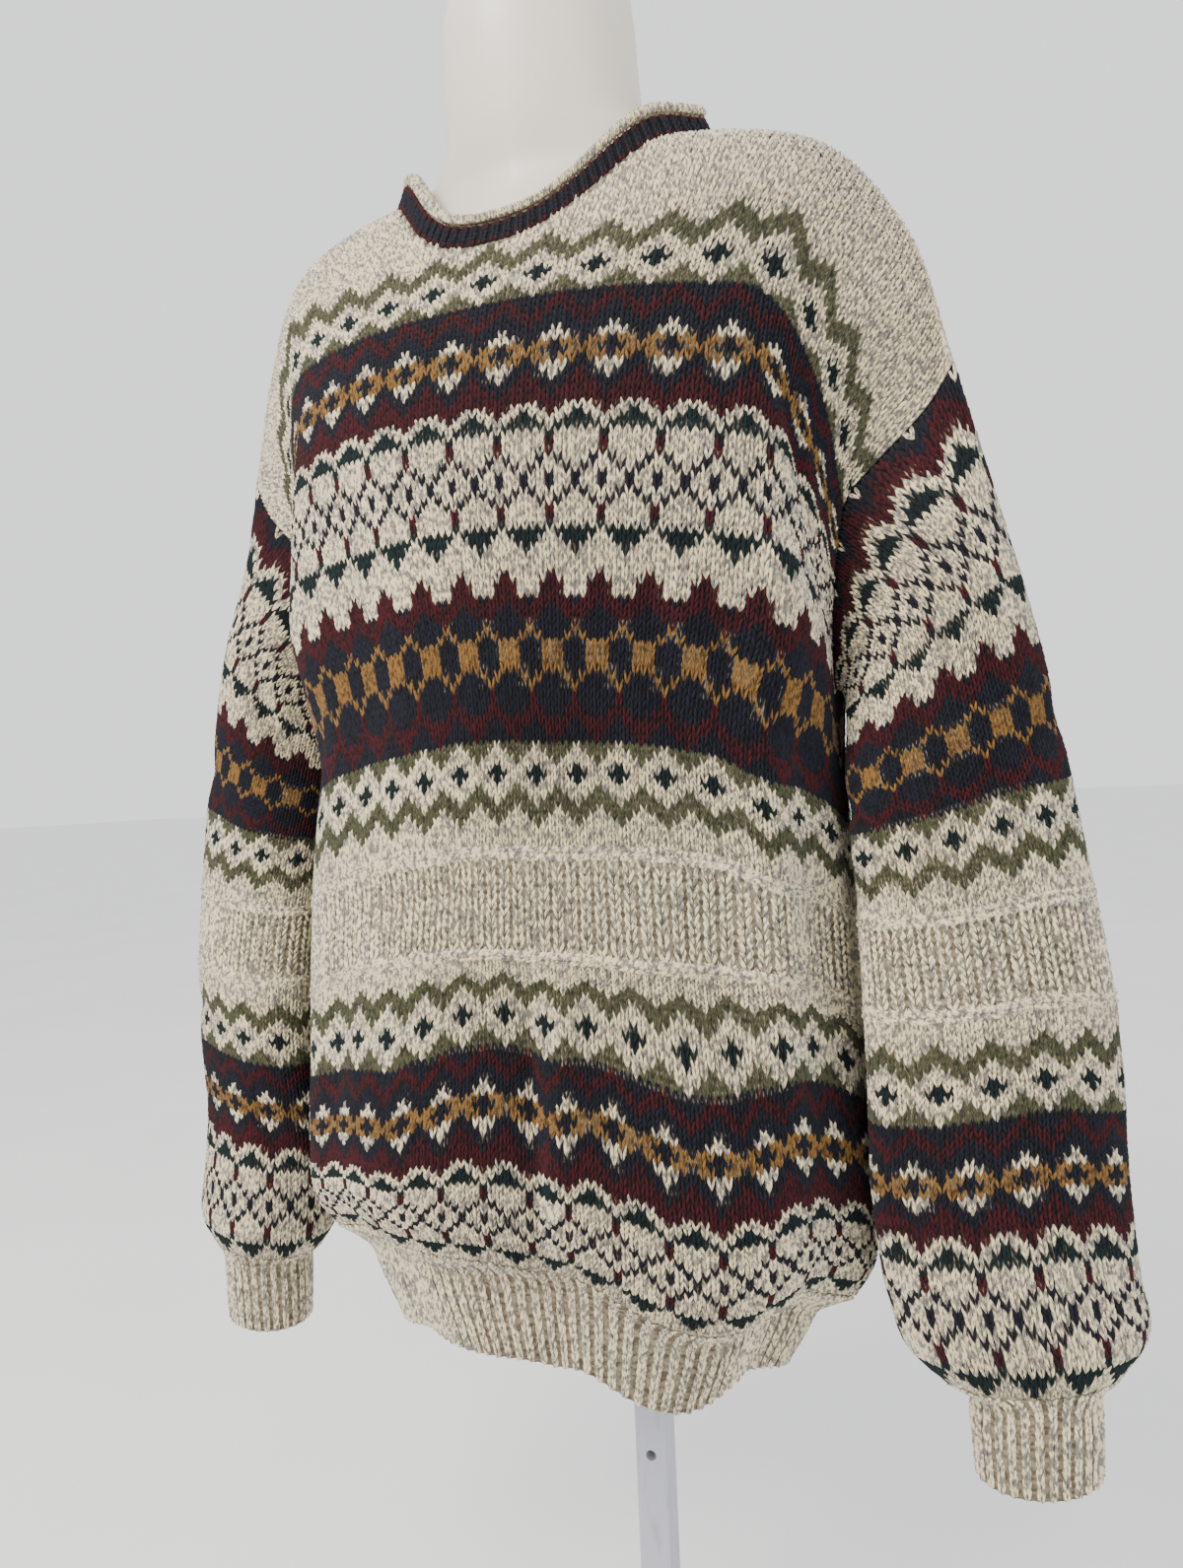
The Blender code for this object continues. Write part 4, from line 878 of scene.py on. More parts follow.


# Painted shade: dark cloth behind the stitches stands in for the shadow in the gaps between yarn lobes,
# behind light yarns, dark yarns and the open rows
LIGHT_YARN_PAINTED_SHADE = ShadeFinish("knit_back_cream_painted_shade", (84, 74, 60), (140, 128, 108))
DARK_YARN_PAINTED_SHADE = ShadeFinish("knit_back_dark_painted_shade", (9, 9, 13), (26, 21, 26))
OPEN_ROWS_PAINTED_SHADE = ShadeFinish("knit_back_textured_painted_shade", (72, 64, 52), (126, 115, 96))
INSIDE_SHADE = ShadeFinish("knit_inside_cream", (138, 126, 104), (202, 190, 164))


@dataclass(frozen=True)
class FormFinish:
    """Satin moulded plastic with a faint mottle."""

    name: str = "form_satin_plastic"

    def material(self) -> bpy.types.Material:
        """Build the plastic."""
        sketch = NodeSketch(self.name)
        cloud = sketch.noise(9.0, 4.0)
        grain = sketch.noise(900.0, 2.0)
        sketch.colour(sketch.ramp(cloud, ((0.30, linear((204, 197, 183))), (0.72, linear((216, 210, 198))))))
        sketch.roughness(grain, 0.36, 0.46)
        sketch.relief(grain, 0.10, 0.0002)
        return sketch.material


@dataclass(frozen=True)
class SteelFinish:
    """Painted steel with small scuffs."""

    name: str
    paint: tuple = (172, 172, 182)
    worn: tuple = (150, 149, 155)

    def material(self) -> bpy.types.Material:
        """Build the paint."""
        sketch = NodeSketch(self.name)
        streak = sketch.noise(240.0, 5.0, (1.0, 1.0, 0.15))
        sketch.colour(sketch.ramp(streak, ((0.22, linear(self.worn)), (0.44, linear(self.paint)))))
        sketch.roughness(streak, 0.50, 0.34)
        sketch.relief(sketch.noise(700.0, 2.0), 0.15, 0.0001)
        sketch.shader.inputs["Metallic"].default_value = 0.10
        return sketch.material


@dataclass(frozen=True)
class FloorFinish:
    """A plain pale floor."""

    name: str = "stage_floor"

    def material(self) -> bpy.types.Material:
        """Build the floor's finish."""
        sketch = NodeSketch(self.name)
        tones = ((0.3, linear((236, 236, 235))), (0.7, linear((240, 240, 239))))
        sketch.colour(sketch.ramp(sketch.noise(3.0, 2.0), tones))
        sketch.shader.inputs["Roughness"].default_value = 0.8
        return sketch.material


class Wardrobe:
    """All materials, each made once."""

    def __init__(self) -> None:
        """Make the yarns, the painted shade behind them and the cloth's inside."""
        self.yarns = [YARN_FINISHES[yarn].material() for yarn in Yarn]
        # Painted shade behind light yarns, dark yarns and the open rows, then the cloth's inside
        self.light = LIGHT_YARN_PAINTED_SHADE.material()
        self.dark = DARK_YARN_PAINTED_SHADE.material()
        self.inside = INSIDE_SHADE.material()
        self.open = OPEN_ROWS_PAINTED_SHADE.material()
        self.backs = [self.light, self.dark, self.open, self.inside]


def build_mesh(name: str, points: np.ndarray, faces: np.ndarray, materials: list, slots: np.ndarray,
               uv: np.ndarray) -> bpy.types.Object:
    """Make a smooth-shaded mesh object quickly.

    Args:
        name: the piece's name.
        points: its corners.
        faces: corner numbers, all faces with the same number of corners.
        materials: its material slots.
        slots: the slot of each face.
        uv: a place on the bake map for each corner.

    Returns:
        The new object, in the scene.
    """
    mesh = bpy.data.meshes.new(name)
    count, sides = faces.shape
    mesh.vertices.add(len(points))
    mesh.vertices.foreach_set("co", np.asarray(points, np.float32).ravel())
    mesh.loops.add(count * sides)
    mesh.loops.foreach_set("vertex_index", faces.astype(np.int32).ravel())
    mesh.polygons.add(count)
    mesh.polygons.foreach_set("loop_start", np.arange(count, dtype=np.int32) * sides)
    for material in materials:
        mesh.materials.append(material)
    mesh.polygons.foreach_set("material_index", np.asarray(slots, np.int32))
    layer = mesh.uv_layers.new(name="OFBake")
    layer.data.foreach_set("uv", np.asarray(uv, np.float32)[faces.ravel()].ravel())
    mesh.update(calc_edges=True)
    mesh.validate()
    mesh.shade_smooth()
    obj = bpy.data.objects.new(name, mesh)
    bpy.context.scene.collection.objects.link(obj)
    return obj


class KnitGrid:
    """A piece of cloth by rows and stitches, which lobes and shells are laid on."""

    def __init__(self, points: np.ndarray, wrap: bool, centre: np.ndarray) -> None:
        """Keep the points at the stitches' corners and work out their outward ways."""
        self.points = points
        self.wrap = wrap
        self.rows = points.shape[0] - 1
        self.columns = points.shape[1] if wrap else points.shape[1] - 1
        self.normals = grid_normals(points, wrap, centre)
        down = np.gradient(points, axis=0)
        across = np.roll(points, -1, axis=1) - points if wrap else np.gradient(points, axis=1)
        self.flipped = float(np.sum(np.cross(across, down) * self.normals)) > 0

    def place(self, row: np.ndarray, column: np.ndarray, rise: np.ndarray) -> np.ndarray:
        """Points at places counted in rows and stitches, raised by rise metres."""
        row = np.clip(row, 0, self.rows - 1e-6)
        if self.wrap:
            column = np.mod(column, self.columns)
        else:
            column = np.clip(column, 0, self.columns - 1e-6)
        top, left = row.astype(int), column.astype(int)
        right = (left + 1) % self.columns if self.wrap else left + 1
        f, g = (row - top)[..., None], (column - left)[..., None]

        def read(grid: np.ndarray) -> np.ndarray:
            """Blend the four corners round each place."""
            upper = grid[top, left] * (1 - g) + grid[top, right] * g
            lower = grid[top + 1, left] * (1 - g) + grid[top + 1, right] * g
            return upper * (1 - f) + lower * f

        return read(self.points) + unit(read(self.normals)) * rise[..., None]


class Stitches:
    """Yarn lobes gathered for one piece."""

    def __init__(self, grid: KnitGrid, seed: int) -> None:
        """Start with none."""
        self.grid = grid
        self.random = np.random.default_rng(seed)
        self.points = []
        self.faces = []
        self.slots = []
        self.uv = []
        self.count = 0

    def add(self, rows: np.ndarray, columns: np.ndarray, slots: np.ndarray, lobe: tuple, mirrored: bool,
            floor_rows: np.ndarray | None = None) -> None:
        """Lay one lobe at each place.

        Args:
            rows: middle of each stitch, in rows.
            columns: middle of each stitch, in stitches.
            slots: the yarn of each.
            lobe: the lobe's eight points.
            mirrored: whether it is the right leg.
            floor_rows: rows above which no point may reach, one for each stitch.
        """
        shape = np.array(lobe)
        across = shape[:, 0] * (-1 if mirrored else 1)
        jitter = self.random.normal(0.0, 1.0, (len(rows), 4))
        row = rows[:, None] + shape[:, 1] + jitter[:, :1] * ROW_STRAY
        column = columns[:, None] + across + jitter[:, 1:2] * COLUMN_STRAY
        tilt = TILT_STRAY * jitter[:, 3:] * shape[:, 1]
        rise = (shape[:, 2] + jitter[:, 2:3] * RISE_STRAY + tilt) * MILLIMETRE
        if floor_rows is not None:
            row = np.maximum(row, floor_rows[:, None])
        points = self.grid.place(row, column, rise)
        faces = np.array(LOBE_FACES)
        if mirrored != self.grid.flipped:
            faces = faces[:, ::-1]
        start = self.count + 8 * np.arange(len(rows))
        self.faces.append((start[:, None, None] + faces).reshape(-1, 3))
        self.points.append(points.reshape(-1, 3))
        self.slots.append(np.repeat(slots, len(LOBE_FACES)))
        half = 0.5 if mirrored else 0.0
        local = (shape[:, :2] - shape[:, :2].min(0)) / np.ptp(shape[:, :2], axis=0)
        u = (np.floor(columns)[:, None] + half + 0.04 + 0.42 * local[:, 0]) / (self.grid.columns + 1)
        v = (np.floor(rows)[:, None] + 0.05 + 0.9 * local[:, 1]) / (self.grid.rows + 1)
        self.uv.append(np.stack([u, 1 - v], -1).reshape(-1, 2))
        self.count += 8 * len(rows)

    def pair(self, rows: np.ndarray, columns: np.ndarray, slots: np.ndarray, lobe: tuple,
             floor_rows: np.ndarray | None = None) -> None:
        """Lay both legs of each stitch."""
        for mirrored in (False, True):
            self.add(rows, columns, slots, lobe, mirrored, floor_rows)

    def build(self, name: str, wardrobe: Wardrobe) -> bpy.types.Object:
        """Join the lobes into one piece."""
        faces = np.concatenate(self.faces)
        obj = build_mesh(
            name, np.concatenate(self.points), faces, wardrobe.yarns,
            np.concatenate(self.slots), np.concatenate(self.uv),
        )
        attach(obj, BODY)
        LOG.info("%s: %d triangles", name, len(faces))
        return obj


def shell_object(name: str, grid: np.ndarray, normals: np.ndarray, wrap: bool, materials: list,
                 outer_slots: np.ndarray, inner_rise: float = SHELL_INNER) -> bpy.types.Object:
    """A closed thin shell of cloth.

    Args:
        name: the piece's name.
        grid: points by row and column on the cloth's face.
        normals: outward ways at them.
        wrap: whether the columns close into a ring.
        materials: slots; the last one is the inside's.
        outer_slots: slot of each outer cell.
        inner_rise: metres from the grid to the shell's inner layer.

    Returns:
        The new piece.
    """
    rows, columns = grid.shape[:2]
    layers = np.concatenate([(grid + normals * rise).reshape(-1, 3) for rise in (SHELL_OUTER, inner_rise)])
    steps = columns if wrap else columns - 1
    row, column = np.meshgrid(np.arange(rows - 1), np.arange(steps), indexing="ij")
    after = (column + 1) % columns
    a, b = row * columns + column, row * columns + after
    c, d = a + columns, b + columns
    inside = rows * columns
    outer = np.stack([a, c, d, b], -1).reshape(-1, 4)
    inner = outer[:, ::-1] + inside
    edge_column = np.arange(steps)
    edge_after = (edge_column + 1) % columns
    top = np.stack([edge_column, edge_after, edge_after + inside, edge_column + inside], -1)
    last = (rows - 1) * columns
    low = np.stack([edge_after, edge_column, edge_column + inside, edge_after + inside], -1) + last
    groups = [outer, inner, top, low]
    if not wrap:
        rise = np.arange(rows - 1) * columns
        groups.append(np.stack([rise, rise + inside, rise + columns + inside, rise + columns], -1))
        side = rise + columns - 1
        groups.append(np.stack([side, side + columns, side + columns + inside, side + inside], -1))
    faces = np.concatenate(groups)
    slots = np.full(len(faces), len(materials) - 1)
    slots[:len(outer)] = outer_slots.ravel()
    down = np.gradient(grid, axis=0)
    across = np.roll(grid, -1, axis=1) - grid if wrap else np.gradient(grid, axis=1)
    if float(np.sum(np.cross(down, across) * normals)) < 0:
        faces = faces[:, ::-1]
    v, u = np.meshgrid(np.linspace(0, 1, rows), np.linspace(0, 1, columns), indexing="ij")
    plan = np.stack([u * 0.485 + 0.005, 0.99 - v * 0.98], -1).reshape(-1, 2)
    uv = np.concatenate([plan, plan + [0.5, 0.0]])
    obj = build_mesh(name, layers, faces, materials, slots, uv)
    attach(obj, BODY)
    LOG.info("%s: %d quads", name, len(faces))
    return obj


def chart_rows(bands: tuple) -> tuple:
    """Chart string and kind of every row of some bands."""
    return tuple((row, band.knit) for band in bands for row in band.chart)


def chart_slot(rows: tuple, row: int, column: int, offset: int) -> int:
    """Yarn slot of one stitch."""
    return YARN_SLOTS[rows[row][0][(column + offset) % REPEAT]]


def painted_shade_slots(rows: tuple, places: np.ndarray, stitch: np.ndarray, offset: int) -> np.ndarray:
    """Painted-shade slot of the cloth behind each cell: behind light yarns, dark yarns or open rows.

    Args:
        rows: chart rows.
        places: the chart row of each cell.
        stitch: the stitch of each column of cells.
        offset: where the repeat starts.

    Returns:
        One slot for each cell.
    """
    dark = {YARN_SLOTS[yarn.value] for yarn in DARK_YARNS}
    slots = np.zeros(places.shape, int)
    for (row, column), place in np.ndenumerate(places):
        slot = chart_slot(rows, place, int(stitch[column]), offset)
        slots[row, column] = 2 if rows[place][1] is Knit.OPEN else int(slot in dark)
    return slots


def rib_levels(top: np.ndarray, turn: np.ndarray, edge: np.ndarray) -> np.ndarray:
    """Levels of a rib from its seam down, with two between its turn and its edge."""
    return np.array([top, turn, turn * 0.68 + edge * 0.32, turn * 0.34 + edge * 0.66, edge])


def lay_chart(stitches: Stitches, rows: tuple, span: range, columns: int, offset: int,
              top: np.ndarray | None = None) -> None:
    """Lay a chart's stitches on a grid.

    Args:
        stitches: where they are gathered.
        rows: chart rows.
        span: which of them.
        columns: stitches in a row.
        offset: where the repeat starts.
        top: highest row that each column may reach, in rows.
    """
    plain, cords, opened = [], [], []
    for row in span:
        knit = rows[row][1]
        for column in range(columns):
            if top is not None and row + 0.3 < top[column]:
                continue
            slot = chart_slot(rows, row, column, offset)
            floor = 0.0 if top is None else top[column]
            if knit is not Knit.OPEN:
                plain.append((row + 0.5, column + 0.5, slot, floor))
            elif column % 2 == 0:
                opened.append((row + 0.5, column + 1.0, slot, floor))
            if knit is Knit.RIDGE:
                cords.append((row + 0.5, column + 0.5, slot))
    for items, lobe in ((plain, LEG), (opened, OPEN_LEG)):
        if items:
            table = np.array(items)
            stitches.pair(table[:, 0], table[:, 1], table[:, 2].astype(int), lobe, floor_rows=table[:, 3])
    if cords:
        table = np.array(cords)
        stitches.add(table[:, 0], table[:, 1], table[:, 2].astype(int), CORD, False)


@dataclass
class BodyPanel:
    """A front or back panel: its shell, and its stitches above and below the waist."""

    word: str
    panel: Panel
    seed: int
    repeat_start: int
    shell_columns: int = 72
    neck_rows: int = 8
    shell_step: float = 3.0

    def rows_to_drop(self, rows: np.ndarray) -> np.ndarray:
        """Cloth distance from the shoulder at which rows start."""
        table = np.array(ROW_DROPS)
        return np.interp(rows, table[:, 0] + SHOULDER_ROWS, table[:, 1])

    def drop_to_rows(self, drop: np.ndarray) -> np.ndarray:
        """The row, counted from the shoulder, at some cloth distances."""
        table = np.array(ROW_DROPS)
        return np.interp(drop, table[:, 1], table[:, 0] + SHOULDER_ROWS)

    def across(self, share: np.ndarray, drop: np.ndarray) -> np.ndarray:
        """Where stitches counted evenly from -1 to 1 really lie at some drops."""
        reach = np.clip((drop - GATHER_TOP) / GATHER_LENGTH, 0, 1)
        gathered = share - GATHER * np.sin(np.pi * share) / np.pi * reach
        return gathered + SWING * (1 - share**2) ** 2 * reach

    def down(self, share: np.ndarray, drop: np.ndarray) -> np.ndarray:
        """Where rows that start at some drops really lie along their length."""
        share, drop = np.broadcast_arrays(share, drop)
        sags = np.array([sag for _, sag in ROW_SAGS], float) * MILLIMETRE
        if self.panel.facing > 0:
            sags = sags[:, :1] * np.clip(-np.array(ROW_SHARES), 0, 1) ** 2
        place = np.interp(share, ROW_SHARES, np.arange(len(ROW_SHARES)))
        left = np.clip(place.astype(int), 0, len(ROW_SHARES) - 2)
        f = ease(place - left)
        line = np.interp(drop, [level for level, _ in ROW_SAGS], np.arange(len(ROW_SAGS)))
        above = np.clip(line.astype(int), 0, len(ROW_SAGS) - 2)
        g = line - above
        upper = sags[above, left] * (1 - f) + sags[above, left + 1] * f
        lower = sags[above + 1, left] * (1 - f) + sags[above + 1, left + 1] * f
        return drop + upper * (1 - g) + lower * g

    def build(self, wardrobe: Wardrobe) -> None:
        """Build the panel's pieces.

        Args:
            wardrobe: the materials.
        """
        rows = chart_rows(BODY_BANDS)
        count = len(rows)
        u = -1 + 2 * np.arange(PANEL_STITCHES + 1) / PANEL_STITCHES
        drop = self.rows_to_drop(np.arange(count + 1.0))
        places = self.across(u[None, :], drop[:, None])
        levels = self.down(u[None, :], drop[:, None])
        grid = KnitGrid(self.panel.points(places, levels), False, BODY_MIDDLE)
        centres = (u[:-1] + u[1:]) / 2
        top = self.drop_to_rows(self.panel.neckline(centres))
        waist = len(chart_rows(YOKE_BANDS))
        for part, span, seed in (("upper", range(waist), 0), ("lower", range(waist, count), 1)):
            stitches = Stitches(grid, self.seed + seed)
            lay_chart(stitches, rows, span, PANEL_STITCHES, self.repeat_start, top)
            stitches.build(f"{self.word}_stitches_{part}", wardrobe)
        shell = self.shell(rows, wardrobe)
        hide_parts(f"{self.word}_panel")

    def shell(self, rows: tuple, wardrobe: Wardrobe) -> bpy.types.Object:
        """The thin cloth under the stitches, coloured with painted shade."""
        u = np.linspace(-1, 1, self.shell_columns + 1)
        steps = np.arange(0, len(rows) + self.shell_step, self.shell_step).clip(max=len(rows))
        drop = np.array(np.broadcast_to(self.rows_to_drop(steps)[:, None], (len(steps), len(u))))
        start = self.panel.neckline(u)
        floor = drop[self.neck_rows, 0]
        for row in range(self.neck_rows):
            drop[row] = start + (floor - start) * row / self.neck_rows
        grid = self.panel.points(self.across(u[None, :], drop), self.down(u[None, :], drop))
        normals = grid_normals(grid, False, BODY_MIDDLE)
        middle_row = self.drop_to_rows((drop[:-1, :-1] + drop[1:, 1:]) / 2).astype(int).clip(0, len(rows) - 1)
        middle_column = ((u[:-1] + u[1:]) / 2 + 1) / 2 * PANEL_STITCHES
        slots = painted_shade_slots(rows, middle_row, middle_column, self.repeat_start)
        return shell_object(f"{self.word}_panel_cloth", grid, normals, False, wardrobe.backs, slots)


@dataclass
class SleevePiece:
    """A sleeve: its shell and its stitches."""

    word: str
    surface: Sleeve
    seed: int
    repeat_start: int
    shell_columns: int = 48
    shell_step: float = 3.0

    def grid(self, shares: np.ndarray, columns: int) -> np.ndarray:
        """Points of the sleeve with its creases."""
        around = np.arange(columns) / columns
        quarters = np.array([np.interp(shares, [level for level, _ in SLEEVE_SAGS], column)
                             for column in zip(*(sag for _, sag in SLEEVE_SAGS))]).T
        place = 4 * around
        left = place.astype(int) % 4
        f = ease(place - place.astype(int))
        levels = shares[:, None] + quarters[:, left] * (1 - f) + quarters[:, (left + 1) % 4] * f
        points = self.surface.points(around[None, :], levels)
        centre = points.mean(axis=1, keepdims=True)
        normals = grid_normals(points, True, centre)
        x, y = np.broadcast_arrays(around[None, :], shares[:, None])
        depth = crease_depth(SLEEVE_CREASES, x, y, Sleeve.GIRTH, Sleeve.LENGTH)
        fade = np.clip(y / 0.08, 0, 1) * np.clip((1 - y) / 0.04, 0, 1)
        return points + normals * (depth * fade)[..., None]

    def build(self, wardrobe: Wardrobe) -> None:
        """Build the sleeve's pieces."""
        rows = chart_rows(SLEEVE_BANDS)
        table = np.array(SLEEVE_SHARES)
        shares = np.interp(np.arange(len(rows) + 1.0), table[:, 0], table[:, 1])
        points = self.grid(shares, SLEEVE_STITCHES)
        stitches = Stitches(KnitGrid(points, True, points.mean(axis=1, keepdims=True)), self.seed)
        lay_chart(stitches, rows, range(len(rows)), SLEEVE_STITCHES, self.repeat_start)
        stitched = stitches.build(f"sleeve_{self.word}_stitches", wardrobe)
        steps = np.arange(0, len(rows) + self.shell_step, self.shell_step).clip(max=len(rows))
        coarse = self.grid(np.interp(steps, table[:, 0], table[:, 1]), self.shell_columns)
        middle = ((steps[:-1] + steps[1:]) / 2).astype(int).clip(0, len(rows) - 1)
        places = np.repeat(middle[:, None], self.shell_columns, axis=1)
        stitch = (np.arange(self.shell_columns) + 0.5) * SLEEVE_STITCHES / self.shell_columns
        # The cloth behind the stitches is painted shade, darker behind dark yarns
        slots = painted_shade_slots(rows, places, stitch, self.repeat_start)
        normals = grid_normals(coarse, True, coarse.mean(axis=1, keepdims=True))
        shell = shell_object(f"sleeve_{self.word}_cloth", coarse, normals, True, wardrobe.backs, slots)
        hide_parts(f"sleeve_{self.word}")


@dataclass
class RibPiece:
    """A 1x1 rib: a corrugated shell with a column of stitches on each rib."""

    name: str
    slot: str
    points: np.ndarray
    wrap: bool
    centre: np.ndarray
    seed: int
    flat: tuple
    colours: tuple
    rests_on: tuple
    recess_painted_shade: bpy.types.Material | None = None
    relief: float = 0.0009
    row_count: int = 13

    def build(self, wardrobe: Wardrobe) -> None:
        """Build the rib's pieces."""
        rows = self.row_count
        levels = np.linspace(0, self.points.shape[0] - 1, rows + 1)
        knots = np.arange(self.points.shape[0])
        grid = KnitGrid(hermite(knots, self.points, levels), self.wrap, self.centre)
        stitches = Stitches(grid, self.seed)
        row, column = np.meshgrid(np.arange(rows) + 0.5, np.arange(0, grid.columns, 2) + 1.0, indexing="ij")
        colours = np.array([YARN_SLOTS[self.colours[i % len(self.colours)]] for i in range(rows)])
        slots = colours[row.ravel().astype(int)]
        stitches.pair(row.ravel(), column.ravel(), slots, RIB_LEG)
        stitched = stitches.build(f"{self.name}_stitches", wardrobe)
        fine = self.fine_grid(grid)
        normals = grid_normals(fine, self.wrap, self.centre)
        # The grooves between the ribs get painted shade
        shade = wardrobe.light if self.recess_painted_shade is None else self.recess_painted_shade
        cells = (fine.shape[0] - 1, fine.shape[1] if self.wrap else fine.shape[1] - 1)
        shell = shell_object(
            f"{self.name}_cloth", fine, normals, self.wrap, [shade, wardrobe.inside], np.zeros(cells, int),
        )
        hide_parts(self.name)

    def fine_grid(self, grid: KnitGrid) -> np.ndarray:
        """The cloth between the ribs, waved once for each rib."""
        columns = grid.columns * 2
        places = np.arange(columns if self.wrap else columns + 1) / 2
        rows = np.linspace(0, grid.rows, 8)
        row, column = np.meshgrid(rows, places, indexing="ij")
        wave = (0.5 - 0.5 * np.cos(np.pi * column)) * self.relief
        return grid.place(row, column, wave - self.relief * 0.4)


class Sweater:
    """All the cloth."""

    def __init__(self, wardrobe: Wardrobe) -> None:
        """Set up the surfaces."""
        self.wardrobe = wardrobe
        self.front = Panel(FRONT_YOKE, -1, FRONT_FOLDS, FRONT_NECK_DROP, FRONT_CREASES)
        self.back = Panel(BACK_YOKE, 1, BACK_FOLDS, BACK_NECK_DROP, BACK_CREASES)

    def hem_points(self, panel: Panel) -> np.ndarray:
        """Levels of the hem rib, from the panel's lower edge down."""
        across = np.linspace(-1, 1, HEM_STITCHES + 1)
        top = panel.points(across, np.full(len(across), RIB_DROP)) - [0.0, 0.0, RIB_SEAM]
        levels = [top]
        for row, keep in zip((HEM_TURN, HEM_EDGE), HEM_FOLD_KEEP):
            half = even_along(body_curve(row, panel.facing), panel.SAMPLES)
            points = read_line(np.abs(across) * (panel.SAMPLES - 1), np.arange(panel.SAMPLES), half)
            points[:, 0] *= np.sign(across)
            hung = points.copy()
            panel.hang(hung, across, np.full(len(across), RIB_DROP))
            levels.append(points + (hung - points) * keep + BODY_CENTRE)
        return rib_levels(*levels)

    def cuff_points(self, side: int, surface: Sleeve) -> np.ndarray:
        """Levels of a cuff, from the sleeve's lower edge down."""
        around = np.arange(CUFF_STITCHES) / CUFF_STITCHES
        top = surface.points(around, np.ones(CUFF_STITCHES)) - [0.0, 0.0, RIB_SEAM]
        turn, edge = (sleeve_ring(ring, side, CUFF_STITCHES + 1)[:-1] for ring in (CUFF_TURN, CUFF_EDGE))
        return rib_levels(top, turn, edge)

    def neck_loop(self, count: int) -> np.ndarray:
        """The neckline at even steps, from the left shoulder round the front."""
        u = np.linspace(NECK_SHARE, -NECK_SHARE, 61)
        ahead = self.front.points(u, self.front.neckline(u))
        behind = self.back.points(-u, self.back.neckline(u))
        return even_steps(np.concatenate([ahead[:-1], behind]), count, closed=True)

    def neck_frame(self, count: int) -> tuple:
        """Neckline points with the band's rise and outward way at each."""
        loop = self.neck_loop(count)
        centre = np.array([BODY_X, loop[:, 1].mean(), 0.0])
        inward = unit((centre - loop) * [1, 1, 0])
        rise = unit(inward * BAND_LEAN + np.array([0.0, 0.0, 1.0]))
        out = unit(-inward + np.array([0.0, 0.0, BAND_LEAN]))
        return loop, rise, out

    def neckband(self) -> None:
        """The ribbed band in burgundy and navy, and the rolled cream edge."""
        loop, rise, out = self.neck_frame(NECK_STITCHES)
        points = np.array([loop + rise * level for level in np.linspace(BAND_TOP, BAND_FOOT, 5)])
        centre = points.mean(axis=(0, 1))
        # The band's grooves take the dark painted shade
        RibPiece(
            "neckband", "neck_knit", points, True, centre, 70, BAND_FLAT, ("B", "N", "N", "N", "B"),
            ("front_panel_cloth", "back_panel_cloth"), self.wardrobe.dark, row_count=5,
        ).build(self.wardrobe)
        middle = loop + rise * (BAND_TOP + RIB_SEAM + ROLL_RADIUS) - out * (WALL / 2)
        angles = np.radians(np.linspace(*ROLL_TURN, ROLL_ROWS + 1))
        roll = np.array([middle + (rise * math.sin(a) + out * math.cos(a)) * ROLL_RADIUS for a in angles])
        stitches = Stitches(KnitGrid(roll, True, middle[None]), 71)
        row, column = np.meshgrid(np.arange(ROLL_ROWS) + 0.5, np.arange(NECK_STITCHES) + 0.5, indexing="ij")
        slots = np.full(row.size, YARN_SLOTS["w"])
        stitches.pair(row.ravel(), column.ravel(), slots, LEG)
        stitched = stitches.build("neckband_roll_stitches", self.wardrobe)
        normals = grid_normals(roll, True, middle[None])
        cells = np.zeros((len(roll) - 1, NECK_STITCHES), int)
        # The cloth under the roll's stitches is painted shade
        shell = shell_object(
            "neckband_roll_cloth", roll, normals, True, [self.wardrobe.light, self.wardrobe.inside], cells,
            ROLL_INNER,
        )
        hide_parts("neckband_roll")

    def build(self) -> None:
        """Build every piece of cloth."""
        BodyPanel("front", self.front, 10, 3).build(self.wardrobe)
        BodyPanel("back", self.back, 20, 3).build(self.wardrobe)
        for word, panel, seed in (("front", self.front, 30), ("back", self.back, 31)):
            points = self.hem_points(panel)
            centre = points.mean(axis=(0, 1)) * [1, 0, 1] + [0, BODY_Y, 0]
            RibPiece(
                f"hem_rib_{word}", "rib_knit", points, False, centre, seed, HEM_FLAT, ("w",),
                (f"{word}_panel_cloth",),
            ).build(self.wardrobe)
        for word, side, seed in (("left", 1, 40), ("right", -1, 50)):
            surface = Sleeve(side, self.front, self.back)
            SleevePiece(word, surface, seed, 0).build(self.wardrobe)
            points = self.cuff_points(side, surface)
            RibPiece(
                f"cuff_{word}", "rib_knit", points, True, points.mean(axis=1).mean(axis=0), seed + 1,
                CUFF_FLAT, ("w",), (f"sleeve_{word}_cloth",), row_count=12,
            ).build(self.wardrobe)
        self.neckband()


